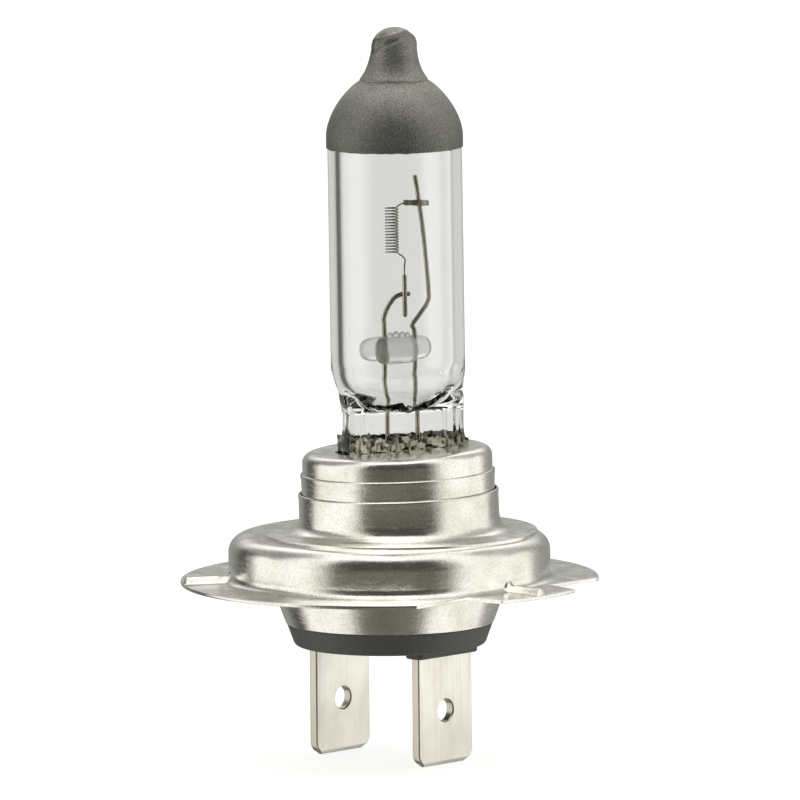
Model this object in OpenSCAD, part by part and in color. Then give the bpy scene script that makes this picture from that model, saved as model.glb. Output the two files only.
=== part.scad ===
// Halogen headlight bulb with a prefocus flange cap and two blade terminals.
// Frame: millimetres, +Z towards the tip. The origin is on the locating drum's axis, level with
// the crests of the three reference ribs, where the drum's plain wall begins. The blades face
// along X and the flange's keyed lug points along +X. Heights among the driving dimensions are
// measured from the flange's top face.

/* [Prefocus ring] */
// Diameter of the locating drum
drum_d = 26; // [25.6:0.1:26.4]
// Height of the drum above the flange
drum_h = 3.6; // [3.5:0.1:3.8]
// Outer diameter of the flange
flange_d = 33.8; // [33:0.1:34.4]
// Thickness of the drum's wall
ring_sheet = 0.5; // [0.4:0.05:0.6]
// Thickness of the flange, which is pressed thinner than the drum
flange_sheet = 0.3; // [0.25:0.05:0.4]
// Height of the three reference ribs above the flange
rib_h = 0.53; // [0.4:0.01:0.53]
// Half angle of the keyed lug between its two notches
lug_half_angle = 14.5; // [12:0.5:16]

/* [Focus collar] */
// Outer diameter of the focus washer
washer_d = 22.2; // [21.6:0.1:22.6]
// Thickness of the focus washer
washer_sheet = 0.35; // [0.3:0.05:0.4]
// Outer radius of the washer's sleeve
sleeve_r = 8.12; // [8.05:0.01:8.2]
// Height of the sleeve's upper edge
sleeve_top = 7.1; // [6.8:0.1:7.2]
// Height of the adjusting ring's upper edge
adjust_top = 8.7; // [8.4:0.1:8.9]
// Height of the collar cup's top
cup_top = 10.45; // [10.3:0.05:10.6]
// Length of the slot in the collar cup's top
cup_slot_l = 10.5; // [10.3:0.1:10.7]
// Width of the slot in the collar cup's top
cup_slot_w = 3.9; // [3.9:0.1:4.3]
// Sideways shift of the collar that brings the filament onto the drum's axis
collar_shift = 0.94; // [0.6:0.02:1.0]
// Lean of the collar that comes from the same adjustment, in degrees
collar_lean = 1.4; // [0:0.1:1.6]

/* [Quartz burner] */
// Outer radius of the quartz tube
tube_r = 5.42; // [5.3:0.02:5.46]
// Wall of the quartz tube
tube_wall = 0.95; // [0.8:0.05:1.1]
// Height where the tube's straight wall ends under the dome
tube_top = 35.9; // [35.6:0.1:36.2]
// Height of the dome's top, where the sealed tip begins
dome_top = 40.35; // [40:0.05:40.6]
// Height of the sealed tip's end
tip_top = 44.8; // [44:0.1:45]
// Thickness of the glare coating
coat_t = 0.08; // [0.06:0.01:0.1]
// Height of the coating's lower edge
coat_bottom = 35.0; // [34.6:0.1:35.4]
// Width of the pinch seal
pinch_w = 9.7; // [9.5:0.1:9.8]
// Thickness of the pinch seal
pinch_t = 2.6; // [2.4:0.1:2.8]
// Distance of the pinch seal's middle from the tube's axis
pinch_shift = 0.33; // [0.2:0.01:0.35]
// Height of the pinch seal's lower end
pinch_bottom = 3.4; // [3.3:0.1:3.8]
// Turn of the pinch seal about the bulb's axis
pinch_turn = 60; // [55:1:65]
// Lean of the burner in the collar, in degrees
burner_lean = 0.33; // [0:0.01:0.5]

/* [Filament and supports] */
// Outer diameter of the filament coil
coil_d = 1.13; // [1.0:0.01:1.2]
// Diameter of the tungsten wire
filament_wire = 0.12; // [0.1:0.01:0.15]
// Number of turns in the coil
coil_turns = 16; // [12:1:16]
// Height of the coil's upper end
coil_top = 30.15; // [30:0.05:30.2]
// Length of the coil
coil_length = 3.8; // [3.6:0.1:4]
// Diameter of the molybdenum support wires
support_wire = 0.38; // [0.34:0.01:0.4]
// Diameter of the bridge's short front rod
front_rod_d = 2.24; // [2:0.02:2.3]
// Length of the bridge's short front rod
front_rod_l = 3.45; // [3.2:0.05:3.6]
// Diameter of the bridge's long back rod
back_rod_d = 2; // [1.8:0.1:2.2]
// Length of the bridge's long back rod
back_rod_l = 6.1; // [5.8:0.1:6.2]

/* [Base and terminals] */
// Outer radius of the base shell at its lower edge
shell_low_r = 8.4; // [8.3:0.05:8.5]
// Height of the base shell's lower edge
shell_bottom = -3.6; // [-3.8:0.1:-3.4]
// Height of the insulator's underside
insulator_bottom = -5.4; // [-5.6:0.1:-5.2]
// Width of a blade terminal
blade_w = 6.3; // [6.2:0.05:6.4]
// Thickness of a blade terminal
blade_t = 0.8; // [0.75:0.01:0.82]
// Height of a blade's lower end
blade_bottom = -14.7; // [-15:0.1:-14.4]
// Distance of each blade from the axis
blade_x = 5.65; // [5.5:0.05:5.7]
// Diameter of the latch hole in a blade
blade_hole_d = 1.8; // [1.6:0.1:1.9]

/* [Hidden] */

$fn = 96;
fit_gap = 0.02;          // radial gap between nested pieces
far = 60;                // longer than the whole bulb

drum_r = drum_d / 2;
drum_fillet = 1.4;
seat_h = 0.55;           // radius of the drum's foot, and the origin's height above the flange
drum_mouth_r = 8.9;      // opening in the drum's top
flange_r = flange_d / 2;
rib_r = 0.9;
rib_angles = [0, 128, 232];
rib_start_r = drum_r - 0.3;
rib_end_r = flange_r - 0.15;
notch_vertex_r = 13.85;
notch_vertex_angle = 20.5;
notch_outer_angle = 41;

washer_bottom = drum_h + fit_gap;
washer_fillet = 1.1;
washer_sink = 0.08;
tube_sheet = 0.2;        // wall of the sleeve and of the adjusting ring
adjust_r = sleeve_r - tube_sheet - fit_gap;
cup_r = adjust_r - tube_sheet - fit_gap;
cup_sheet = 0.3;
cup_fillet = 0.8;
adjust_direction = 43;   // direction of the collar's shift, about Z
clip_z = 9.3;
clip_r = 7.0;
clip_sheet = 0.3;
clip_strip = [9.9, 0.2, 2.25];  // each strip that presses on the pinch seal
clip_strip_y = 1.75;

shoulder_low = 13.6;
shoulder_high = 16.6;
cavity_shoulder = 17.2;
cavity_bottom = 14.6;
cavity_foot_w = 7.2;
cavity_foot_t = 2.4;
cavity_dome = 38.9;
tip_r = 1.95;
tip_neck_z = 41.9;
pinch_rib_w = 1.3;       // thicker edge along each side of the pinch seal
pinch_rib_t = 3.1;

coil_x = -0.34;
long_x = 1.45;           // upright part of the long support wire
short_x = -1.1;          // upright part of the short support wire
bridge_z = 18.55;
rod_y = 0.75;            // distance of each rod from the support wires
front_rod_x = -2.05;
back_rod_x = -3.0;
bead_d = 0.5;            // drops left where the front rod was melted on
bead_h = 0.42;
bead_sink = 0.05;
bead_places = [-0.85, -0.35, 0.15, 0.6];
wire_bottom = 9.9;
foil_w = 2.0;
foil_t = 0.1;
foil_bottom = 4.6;
foil_top = 10.6;
foil_long_x = 1.9;
foil_short_x = -1.7;
foil_y = -(support_wire + foil_t) / 2 - fit_gap / 2;
lead_d = 0.6;
lead_y = foil_y + (foil_t + lead_d + fit_gap) / 2;
lead_top = 5.8;
sleeve_y = -0.38;
sleeve_x = 0.55;
leg_sleeve_r = 0.18;
leg_sleeve_bottom = 21.2;
leg_sleeve_top = 24.6;
clamp_size = [2.08, 0.62, 0.5];
clamp_at = [1.76, 0, 30.4];

shell_slope = 0.34;      // radius gained per millimetre of height
shell_sheet = 0.4;
shell_top = -0.45;
shell_play = 0.05;
shell_rim_r = drum_r - ring_sheet - shell_play;
insulator_top = -0.9;
insulator_chamfer = 0.45;
blade_top = 0.9;
weld_tab_w = 2.6;
weld_tab_bottom = -0.4;
blade_chamfer = 0.8;
blade_hole_z = -10.3;
boss_size = [1.8, 7.0];
boss_h = 0.45;

long_wire_points = [
    [long_x, 0, wire_bottom], [long_x, 0, 14], [long_x, 0, 19.6], [1.25, 0, 20.4],
    [1.82, 0, 21.2], [2.62, 0, 22.3], [2.7, 0, 23.4], [2.37, 0, 27.5], [1.97, 0, 30.6],
    [1.67, 0, 32.6]
];
short_wire_points = [
    [short_x, 0, wire_bottom], [short_x, 0, 14], [short_x, 0, 20.2], [-1.15, 0, 21],
    [-0.83, 0, 21.9], [-0.26, 0, 22.7], [0.4, 0, 23], [1.1, 0, 23]
];

// Points on an arc in the radius-height plane.
function arc(centre, radius, from, to, steps) =
    [for (i = [0:steps]) centre + radius * [
        cos(from + (to - from) * i / steps), sin(from + (to - from) * i / steps)
    ]];

function polar(radius, angle) = [radius * cos(angle), radius * sin(angle)];

// Direction of a path at its point i.
function heading(path, i) =
    let (step = path[min(i + 1, len(path) - 1)] - path[max(i - 1, 0)]) step / norm(step);

// The part of a vector that is square to a direction, at unit length.
function square_to(v, direction) =
    let (rest = v - (v * direction) * direction) rest / norm(rest);

// Side directions that turn as little as possible along a path.
function sides_along(path) = [
    for (i = 0, side = square_to([0.3, 1, 0.1], heading(path, 0)); i < len(path);
        side = square_to(side, heading(path, min(i + 1, len(path) - 1))), i = i + 1) side
];

// A point between b and c on a smooth curve that also heads for a and d.
function between(a, b, c, d, u) =
    0.5 * (2 * b + (c - a) * u + (2 * a - 5 * b + 4 * c - d) * u * u
        + (3 * b - a - 3 * c + d) * u * u * u);

// A smooth path through the points, with the given steps from one to the next.
function smooth(points, steps) = [
    for (i = [0:len(points) - 2]) for (k = [0:steps - 1]) between(
        points[max(i - 1, 0)], points[i], points[i + 1],
        points[min(i + 2, len(points) - 1)], k / steps
    ),
    points[len(points) - 1]
];

// A point of the burner's frame, in the bulb's frame.
function burner_point(p) =
    let (
        turned = [
            p[0] * cos(pinch_turn) - p[1] * sin(pinch_turn),
            p[0] * sin(pinch_turn) + p[1] * cos(pinch_turn),
            p[2]
        ],
        shift = collar_shift - turned[2] * sin(burner_lean)
    )
    turned + [shift * cos(adjust_direction), shift * sin(adjust_direction), 0];

// Outline of the dome and the sealed tip, offset outwards by a skin, from its foot up.
function dome_outline(skin) =
    let (
        foot = [tube_r + skin, tube_top],
        rise = dome_top - tube_top + skin,
        neck = [tip_r + skin, tip_neck_z],
        crown = 1.6 + skin
    )
    concat(
        [for (a = [0:6:54]) foot + [-(tube_r - 0.6) * (1 - cos(a)), rise * sin(a)]],
        [[2.95 + skin, 40.3 + skin / 2], [2.45 + skin, 41.0]],
        [neck, [crown + 0.05, tip_top - 1.4]],
        arc([crown - 1.15, tip_top + skin - 1.15], 1.15, 0, 90, 5),
        [[0, tip_top + skin]]
    );

// The ring, the washer's plate and the base stand straight on the drum's axis.
module in_base()
    translate([0, 0, -seat_h])
        children();

// The collar is shifted and leans, as the focus adjustment left it.
module in_collar()
    translate([
        collar_shift * cos(adjust_direction), collar_shift * sin(adjust_direction), -seat_h
    ])
        rotate(a = collar_lean, v = [sin(adjust_direction), -cos(adjust_direction), 0])
            children();

// The burner stands in the collar and leans a little less than it.
module in_burner()
    translate([
        collar_shift * cos(adjust_direction), collar_shift * sin(adjust_direction), -seat_h
    ])
        rotate(a = burner_lean, v = [sin(adjust_direction), -cos(adjust_direction), 0])
            rotate(pinch_turn)
                children();

// A round wire swept along a path.
module wire(path, radius, sides = 8) {
    side = sides_along(path);
    rings = len(path);
    points = [
        for (i = [0:rings - 1]) let (across = cross(heading(path, i), side[i]))
            for (k = [0:sides - 1])
                path[i] + radius * (cos(360 * k / sides) * side[i] + sin(360 * k / sides) * across)
    ];
    faces = concat(
        [[for (k = [0:sides - 1]) k]],
        [for (i = [0:rings - 2]) for (k = [0:sides - 1]) [
            i * sides + k, (i + 1) * sides + k,
            (i + 1) * sides + (k + 1) % sides, i * sides + (k + 1) % sides
        ]],
        [[for (k = [sides - 1:-1:0]) (rings - 1) * sides + k]]
    );
    polyhedron(points = points, faces = faces, convexity = 6);
}

// One notch beside the keyed lug, on the side that the sign says.
module flange_notch(sign)
    translate([0, 0, -ring_sheet - 1])
        linear_extrude(ring_sheet + rib_h + 2)
            polygon([
                polar(notch_vertex_r, sign * notch_vertex_angle),
                polar(flange_r + 0.6, sign * (lug_half_angle - 0.5)),
                polar(flange_r + 3, sign * 27),
                polar(flange_r + 0.4, sign * notch_outer_angle)
            ]);

// A radial rib pressed up out of the flange.
module reference_rib(angle)
    rotate(angle)
        intersection() {
            translate([rib_start_r, 0, rib_h - rib_r])
                rotate([0, 90, 0])
                    cylinder(r = rib_r, h = rib_end_r - rib_start_r);
            translate([0, -rib_r, -flange_sheet])
                cube([far, 2 * rib_r, flange_sheet + rib_h]);
        }

module prefocus_ring() {
    inner_fillet = drum_fillet - ring_sheet;
    outline = concat(
        [[drum_r - ring_sheet, -flange_sheet], [flange_r, -flange_sheet], [flange_r, 0]],
        arc([drum_r + seat_h, seat_h], seat_h, 270, 180, 5),
        arc([drum_r - drum_fillet, drum_h - drum_fillet], drum_fillet, 0, 90, 6),
        [[drum_mouth_r, drum_h], [drum_mouth_r, drum_h - ring_sheet]],
        arc([drum_r - drum_fillet, drum_h - drum_fillet], inner_fillet, 90, 0, 4)
    );
    color("silver")
        in_base()
            union() {
                difference() {
                    rotate_extrude() polygon(outline);
                    for (sign = [-1, 1]) flange_notch(sign);
                }
                for (angle = rib_angles) reference_rib(angle);
            }
}

module focus_washer() {
    washer_shift = collar_shift - washer_bottom * sin(collar_lean);
    foot = washer_bottom + washer_sheet;
    outline = concat(
        [[sleeve_r - tube_sheet, foot - washer_sink], [sleeve_r + washer_fillet, foot - washer_sink]],
        arc([sleeve_r + washer_fillet, foot + washer_fillet], washer_fillet, 270, 180, 6),
        [[sleeve_r, sleeve_top - 0.12], [sleeve_r - 0.08, sleeve_top]],
        [[sleeve_r - tube_sheet, sleeve_top]]
    );
    color("silver")
        union() {
            in_base()
                translate([
                    washer_shift * cos(adjust_direction), washer_shift * sin(adjust_direction),
                    washer_bottom
                ])
                    difference() {
                        cylinder(d = washer_d, h = washer_sheet);
                        translate([0, 0, -1]) cylinder(r = sleeve_r - tube_sheet + 0.1, h = 3);
                    }
            in_collar() rotate_extrude() polygon(outline);
        }
}

module adjusting_ring()
    color("lightsteelblue")
        in_collar()
            rotate_extrude()
                polygon([
                    [adjust_r - tube_sheet, 4.4], [adjust_r, 4.4], [adjust_r, adjust_top - 0.12],
                    [adjust_r - 0.08, adjust_top], [adjust_r - tube_sheet, adjust_top]
                ]);

module collar_cup() {
    outline = concat(
        [[cup_r - cup_sheet, 5], [cup_r, 5]],
        arc([cup_r - cup_fillet, cup_top - cup_fillet], cup_fillet, 0, 90, 6),
        [[0, cup_top], [0, cup_top - cup_sheet]],
        arc([cup_r - cup_fillet, cup_top - cup_fillet], cup_fillet - cup_sheet, 90, 0, 4)
    );
    color("silver")
        in_collar()
            difference() {
                rotate_extrude() polygon(outline);
                rotate([0, 0, pinch_turn])
                    translate([pinch_shift - cup_slot_l / 2, -cup_slot_w / 2, cup_top - 1])
                        cube([cup_slot_l, cup_slot_w, 2]);
            }
}

module pinch_clip() {
    slot = [pinch_w + 0.2, pinch_rib_t + 0.2];
    color("darkgray")
        in_burner()
            union() {
                translate([0, 0, clip_z])
                    difference() {
                        cylinder(r = clip_r, h = clip_sheet);
                        translate([pinch_shift - slot[0] / 2, -slot[1] / 2, -1])
                            cube([slot[0], slot[1], 3]);
                    }
                for (y = [-1, 1])
                    translate([
                        pinch_shift - clip_strip[0] / 2, y * clip_strip_y - clip_strip[1] / 2, clip_z
                    ])
                        cube(clip_strip);
            }
}

// Cross-section of the pinch seal, with a thicker edge along each side.
module pinch_section()
    translate([pinch_shift, 0]) {
        square([pinch_w, pinch_t], center = true);
        for (x = [-1, 1])
            translate([x * (pinch_w - pinch_rib_w) / 2, 0])
                square([pinch_rib_w, pinch_rib_t], center = true);
    }

// What the seal closes round: the foils, the support wires' feet and the outer leads.
module seal_channels() {
    for (x = [foil_long_x, foil_short_x])
        translate([x - foil_w / 2 - fit_gap, foil_y - foil_t / 2 - fit_gap, foil_bottom - fit_gap])
            cube([foil_w + 2 * fit_gap, foil_t + 2 * fit_gap, foil_top - foil_bottom + 2 * fit_gap]);
    for (x = [long_x, short_x])
        translate([x, 0, wire_bottom - fit_gap])
            cylinder(d = support_wire + 2 * fit_gap, h = shoulder_high - wire_bottom);
    for (x = [foil_long_x, foil_short_x])
        translate([x, lead_y, pinch_bottom - 1])
            cylinder(d = lead_d + 2 * fit_gap, h = lead_top - pinch_bottom + 1 + fit_gap);
}

// The empty space inside the quartz tube, flattened at its foot like the tube.
module burner_cavity() {
    inner_r = tube_r - tube_wall;
    outline = concat(
        [[0, cavity_shoulder], [inner_r, cavity_shoulder]],
        [for (a = [0:10:90]) [inner_r * cos(a), tube_top + (cavity_dome - tube_top) * sin(a)]]
    );
    rotate_extrude() polygon(outline);
    hull() {
        translate([0, 0, cavity_shoulder])
            cylinder(r = inner_r, h = 0.1, $fn = 48);
        translate([0, 0, cavity_bottom])
            linear_extrude(0.1) square([cavity_foot_w, cavity_foot_t], center = true);
    }
}

module quartz_envelope() {
    outer = concat([[0, shoulder_high], [tube_r, shoulder_high]], dome_outline(0));
    color("whitesmoke", 0.35)
        in_burner()
            difference() {
                union() {
                    rotate_extrude() polygon(outer);
                    hull() {
                        translate([0, 0, shoulder_high])
                            cylinder(r = tube_r - 0.01, h = 0.3, $fn = 48);
                        translate([pinch_shift, 0, shoulder_low])
                            linear_extrude(0.1) square([pinch_w, pinch_t], center = true);
                    }
                    translate([0, 0, pinch_bottom])
                        linear_extrude(shoulder_low - pinch_bottom + 0.05) pinch_section();
                }
                burner_cavity();
                seal_channels();
            }
}

module tip_coating() {
    inner = dome_outline(fit_gap);
    outer = dome_outline(fit_gap + coat_t);
    outline = concat(
        [[tube_r + fit_gap, coat_bottom], [tube_r + fit_gap + coat_t, coat_bottom]],
        outer,
        [for (i = [len(inner) - 1:-1:0]) inner[i]]
    );
    color("dimgray")
        in_burner()
            rotate_extrude() polygon(outline);
}

module filament() {
    steps = 16;
    mean_r = (coil_d - filament_wire) / 2;
    coil = [
        for (i = [0:coil_turns * steps]) let (angle = 360 * i / steps) [
            coil_x + mean_r * cos(angle), -mean_r * sin(angle),
            coil_top - coil_length * i / (coil_turns * steps)
        ]
    ];
    coil_foot = coil_top - coil_length;
    upper_leg = [[1.2, 0, coil_top + 0.25], [0.75, 0, coil_top + 0.22], [0.4, 0.04, coil_top + 0.1]];
    lower_leg = [
        [0.2, -0.16, coil_foot - 0.1], [0.45, -0.3, coil_foot - 0.3], [0.62, -0.37, coil_foot - 0.6],
        [sleeve_x, sleeve_y, coil_foot - 1.2], [sleeve_x, sleeve_y, leg_sleeve_top - 0.6]
    ];
    color("dimgray")
        in_burner()
            wire(concat(upper_leg, coil, lower_leg), filament_wire / 2, 5);
}

module upper_leg_clamp()
    color("gray")
        in_burner()
            difference() {
                translate(clamp_at) cube(clamp_size, center = true);
                translate([1.995, 0, clamp_at[2]])
                    rotate([0, -8, 0])
                        cylinder(d = support_wire + 0.1, h = 2, center = true, $fn = 32);
                translate([0, 0, coil_top + 0.24])
                    rotate([0, 90, 0])
                        cylinder(d = filament_wire + 0.08, h = 1.3, $fn = 24);
            }

module lower_leg_sleeve()
    color("gray")
        in_burner()
            translate([sleeve_x, sleeve_y, leg_sleeve_bottom])
                difference() {
                    cylinder(r = leg_sleeve_r, h = leg_sleeve_top - leg_sleeve_bottom, $fn = 32);
                    translate([0, 0, leg_sleeve_top - leg_sleeve_bottom - 0.7])
                        cylinder(d = filament_wire + 2 * fit_gap, h = 1, $fn = 24);
                }

module long_support_wire()
    color("gray")
        in_burner()
            wire(smooth(long_wire_points, 3), support_wire / 2);

module short_support_wire()
    color("gray")
        in_burner()
            wire(smooth(short_wire_points, 3), support_wire / 2);

module bridge_rod(x, y, d, l)
    translate([x, y, bridge_z])
        rotate([0, 90, 0])
            cylinder(d = d, h = l);

module quartz_bridge()
    color("white", 0.6)
        in_burner()
            difference() {
                union() {
                    bridge_rod(front_rod_x, -rod_y, front_rod_d, front_rod_l);
                    bridge_rod(back_rod_x, rod_y, back_rod_d, back_rod_l);
                    for (x = bead_places)
                        translate([x, -rod_y, bridge_z + front_rod_d / 2 - bead_sink])
                            cylinder(d1 = bead_d, d2 = bead_d / 2, h = bead_h, $fn = 24);
                }
                for (x = [long_x, short_x])
                    translate([x, 0, bridge_z - front_rod_d])
                        cylinder(d = support_wire + 2 * fit_gap, h = 2 * front_rod_d, $fn = 32);
            }

module seal_foil(x)
    color("slategray")
        in_burner()
            translate([x - foil_w / 2, foil_y - foil_t / 2, foil_bottom])
                cube([foil_w, foil_t, foil_top - foil_bottom]);

module seal_foil_long() seal_foil(foil_long_x);

module seal_foil_short() seal_foil(foil_short_x);

// The lead from a foil, down through the base to the inner face of its blade.
module outer_lead(foil_x, sign) {
    landing = blade_x - (blade_t + lead_d) / 2 - fit_gap;
    path = concat(
        [for (z = [lead_top, 4.6, pinch_bottom, 3.0]) burner_point([foil_x, lead_y, z])],
        [[sign * landing * 0.8, 0, 1.5], [sign * landing, 0, 0.7], [sign * landing, 0, -0.35]]
    );
    color("gray") in_base() wire(smooth(path, 3), lead_d / 2);
}

module outer_lead_long() outer_lead(foil_long_x, 1);

module outer_lead_short() outer_lead(foil_short_x, -1);

function shell_radius(z) = shell_low_r + shell_slope * (z - shell_bottom);

module base_shell()
    color("silver")
        in_base()
            rotate_extrude()
                polygon([
                    [shell_radius(shell_bottom) - shell_sheet, shell_bottom],
                    [shell_radius(shell_bottom), shell_bottom],
                    [shell_radius(shell_top - 0.4), shell_top - 0.4],
                    [shell_radius(shell_top) + 0.3, shell_top],
                    [shell_rim_r, shell_top],
                    [shell_rim_r, shell_top + shell_sheet],
                    [shell_radius(shell_top) - shell_sheet + 0.1, shell_top + shell_sheet]
                ]);

module insulator() {
    inside = shell_sheet + fit_gap;
    slot = [blade_t + 2 * fit_gap, blade_w + 2 * fit_gap];
    color("darkslategray")
        in_base()
            difference() {
                union() {
                    rotate_extrude()
                        polygon([
                            [0, insulator_bottom],
                            [shell_radius(insulator_bottom) - 0.1 - insulator_chamfer, insulator_bottom],
                            [shell_radius(insulator_bottom) - 0.1, insulator_bottom + insulator_chamfer],
                            [shell_low_r - 0.08, shell_bottom - fit_gap],
                            [shell_radius(shell_bottom) - inside, shell_bottom - fit_gap],
                            [shell_radius(insulator_top) - inside, insulator_top],
                            [0, insulator_top]
                        ]);
                    for (sign = [-1, 1])
                        translate([
                            sign * blade_x - boss_size[0] / 2, -boss_size[1] / 2, insulator_bottom - boss_h
                        ])
                            cube([boss_size[0], boss_size[1], boss_h + 1]);
                }
                for (sign = [-1, 1])
                    translate([sign * blade_x - slot[0] / 2, -slot[1] / 2, insulator_bottom - 2])
                        cube([slot[0], slot[1], 10]);
            }
}

// One blade terminal, on the side of the axis that the sign says.
module terminal(sign)
    color("lightgray")
        translate([sign * blade_x, 0, -seat_h])
            rotate([90, 0, 90])
                translate([0, 0, -blade_t / 2])
                    difference() {
                        linear_extrude(blade_t)
                            polygon([
                                [-blade_w / 2 + blade_chamfer, blade_bottom],
                                [blade_w / 2 - blade_chamfer, blade_bottom],
                                [blade_w / 2, blade_bottom + blade_chamfer],
                                [blade_w / 2, weld_tab_bottom],
                                [weld_tab_w / 2, weld_tab_bottom],
                                [weld_tab_w / 2, blade_top],
                                [-weld_tab_w / 2, blade_top],
                                [-weld_tab_w / 2, weld_tab_bottom],
                                [-blade_w / 2, weld_tab_bottom],
                                [-blade_w / 2, blade_bottom + blade_chamfer]
                            ]);
                        translate([0, blade_hole_z, -1])
                            cylinder(d = blade_hole_d, h = 3);
                    }

module terminal_long() terminal(1);

module terminal_short() terminal(-1);

prefocus_ring();
focus_washer();
adjusting_ring();
collar_cup();
pinch_clip();
quartz_envelope();
tip_coating();
filament();
upper_leg_clamp();
lower_leg_sleeve();
long_support_wire();
short_support_wire();
quartz_bridge();
seal_foil_long();
seal_foil_short();
outer_lead_long();
outer_lead_short();
base_shell();
insulator();
terminal_long();
terminal_short();
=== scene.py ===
"""Looks of a halogen headlight bulb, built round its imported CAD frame.

Lengths inside the classes are in millimetres and heights are above the flange's top face. A
Place turns them into metres in the CAD frame, so that every piece lies where its CAD node lies.
"""

import enum
import logging
import math
from collections.abc import Callable, Iterable, Sequence
from dataclasses import dataclass, field

import bpy
from mathutils import Matrix, Vector, noise


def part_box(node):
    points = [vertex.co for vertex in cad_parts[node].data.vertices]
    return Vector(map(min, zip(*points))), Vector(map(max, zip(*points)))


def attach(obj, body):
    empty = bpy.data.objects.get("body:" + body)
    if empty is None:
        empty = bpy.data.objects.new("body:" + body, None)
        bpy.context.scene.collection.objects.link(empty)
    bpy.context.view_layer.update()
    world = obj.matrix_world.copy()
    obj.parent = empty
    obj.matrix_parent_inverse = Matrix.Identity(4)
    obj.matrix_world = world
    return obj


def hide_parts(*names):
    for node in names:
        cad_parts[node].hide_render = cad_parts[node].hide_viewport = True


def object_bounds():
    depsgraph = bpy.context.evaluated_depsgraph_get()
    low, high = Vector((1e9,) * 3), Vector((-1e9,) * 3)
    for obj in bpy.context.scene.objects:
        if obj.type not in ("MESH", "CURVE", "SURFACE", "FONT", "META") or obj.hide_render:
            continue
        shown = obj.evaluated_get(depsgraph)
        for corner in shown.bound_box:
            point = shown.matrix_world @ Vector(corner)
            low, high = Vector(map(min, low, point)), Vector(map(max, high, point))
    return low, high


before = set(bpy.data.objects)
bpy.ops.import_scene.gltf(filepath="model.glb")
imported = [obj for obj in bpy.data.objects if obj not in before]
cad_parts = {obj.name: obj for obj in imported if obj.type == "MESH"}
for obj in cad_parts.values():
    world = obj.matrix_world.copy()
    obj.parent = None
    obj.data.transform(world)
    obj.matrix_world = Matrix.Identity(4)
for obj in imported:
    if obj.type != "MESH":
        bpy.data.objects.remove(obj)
CAD_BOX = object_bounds()

BODY = "root"
MM = 0.001
LOG = logging.getLogger("headlight_bulb")

Point = tuple[float, float]
Colour = tuple[float, float, float]


class Slot(enum.Enum):
    """The record's material slot names, one for each kind of finish. Each piece is handed one, but nothing
    reads it.
    """

    RING = "ring_steel"
    COLLAR = "collar_steel"
    SHELL = "shell_steel"
    CLIP = "clip_steel"
    TAB = "tab_metal"
    QUARTZ = "quartz"
    BRIDGE = "bridge_quartz"
    COATING = "glare_coating"
    TUNGSTEN = "tungsten"
    MOLYBDENUM = "molybdenum"
    INSULATOR = "insulator_plastic"


# ---------------------------------------------------------------------------------------------
# Geometry helpers
# ---------------------------------------------------------------------------------------------


def smoothstep(low: float, high: float, value: float) -> float:
    """Rise smoothly from 0 to 1.

    Args:
        low: The value where the rise begins.
        high: The value where it ends. It may be below low, for a fall.
        value: The value to place on the rise.

    Returns:
        A share from 0 to 1.
    """
    share = min(1.0, max(0.0, (value - low) / (high - low)))
    return share * share * (3.0 - 2.0 * share)


def mix(first: float, second: float, share: float) -> float:
    """Blend two numbers.

    Args:
        first: The number at share 0.
        second: The number at share 1.
        share: How much of the second number to take.

    Returns:
        The blended number.
    """
    return first + (second - first) * share


def spread(low: float, high: float, count: int) -> list[float]:
    """Place numbers evenly, with both ends included.

    Args:
        low: The first number.
        high: The last number.
        count: How many numbers to give.

    Returns:
        The numbers in order.
    """
    return [mix(low, high, i / (count - 1)) for i in range(count)]


def rounded(corners: Sequence[tuple[float, float, float]], steps: int = 6) -> list[Point]:
    """Round the corners of a closed outline.

    Args:
        corners: Each corner's two coordinates and its fillet radius, 0 for a sharp one.
        steps: How many straight pieces a fillet has.

    Returns:
        The outline's points in order.
    """
    points: list[Point] = []
    for i, (x, y, radius) in enumerate(corners):
        here = Vector((x, y))
        back = Vector(corners[i - 1][:2]) - here
        ahead = Vector(corners[(i + 1) % len(corners)][:2]) - here
        if radius <= 0.0:
            points.append((x, y))
            continue
        back.normalize()
        ahead.normalize()
        half = math.acos(max(-1.0, min(1.0, back.dot(ahead)))) / 2.0
        reach = radius / math.tan(half)
        centre = here + (back + ahead).normalized() * (radius / math.sin(half))
        first = here + back * reach - centre
        last = here + ahead * reach - centre
        sweep = math.atan2(first.x * last.y - first.y * last.x, first.dot(last))
        for k in range(steps + 1):
            turn = sweep * k / steps
            points.append((
                centre.x + first.x * math.cos(turn) - first.y * math.sin(turn),
                centre.y + first.x * math.sin(turn) + first.y * math.cos(turn),
            ))
    return points


def smooth_path(points: Sequence[Sequence[float]], steps: int) -> list[Vector]:
    """Run a smooth curve through some points.

    Args:
        points: The points that the curve passes.
        steps: How many pieces lie between two points.

    Returns:
        The curve's points in order.
    """
    known = [Vector(p) for p in points]
    curve: list[Vector] = []
    for i in range(len(known) - 1):
        a, b = known[max(i - 1, 0)], known[i]
        c, d = known[i + 1], known[min(i + 2, len(known) - 1)]
        for k in range(steps):
            u = k / steps
            curve.append(0.5 * (
                2 * b + (c - a) * u + (2 * a - 5 * b + 4 * c - d) * u * u
                + (3 * b - a - 3 * c + d) * u * u * u
            ))
    curve.append(known[-1])
    return curve


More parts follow.
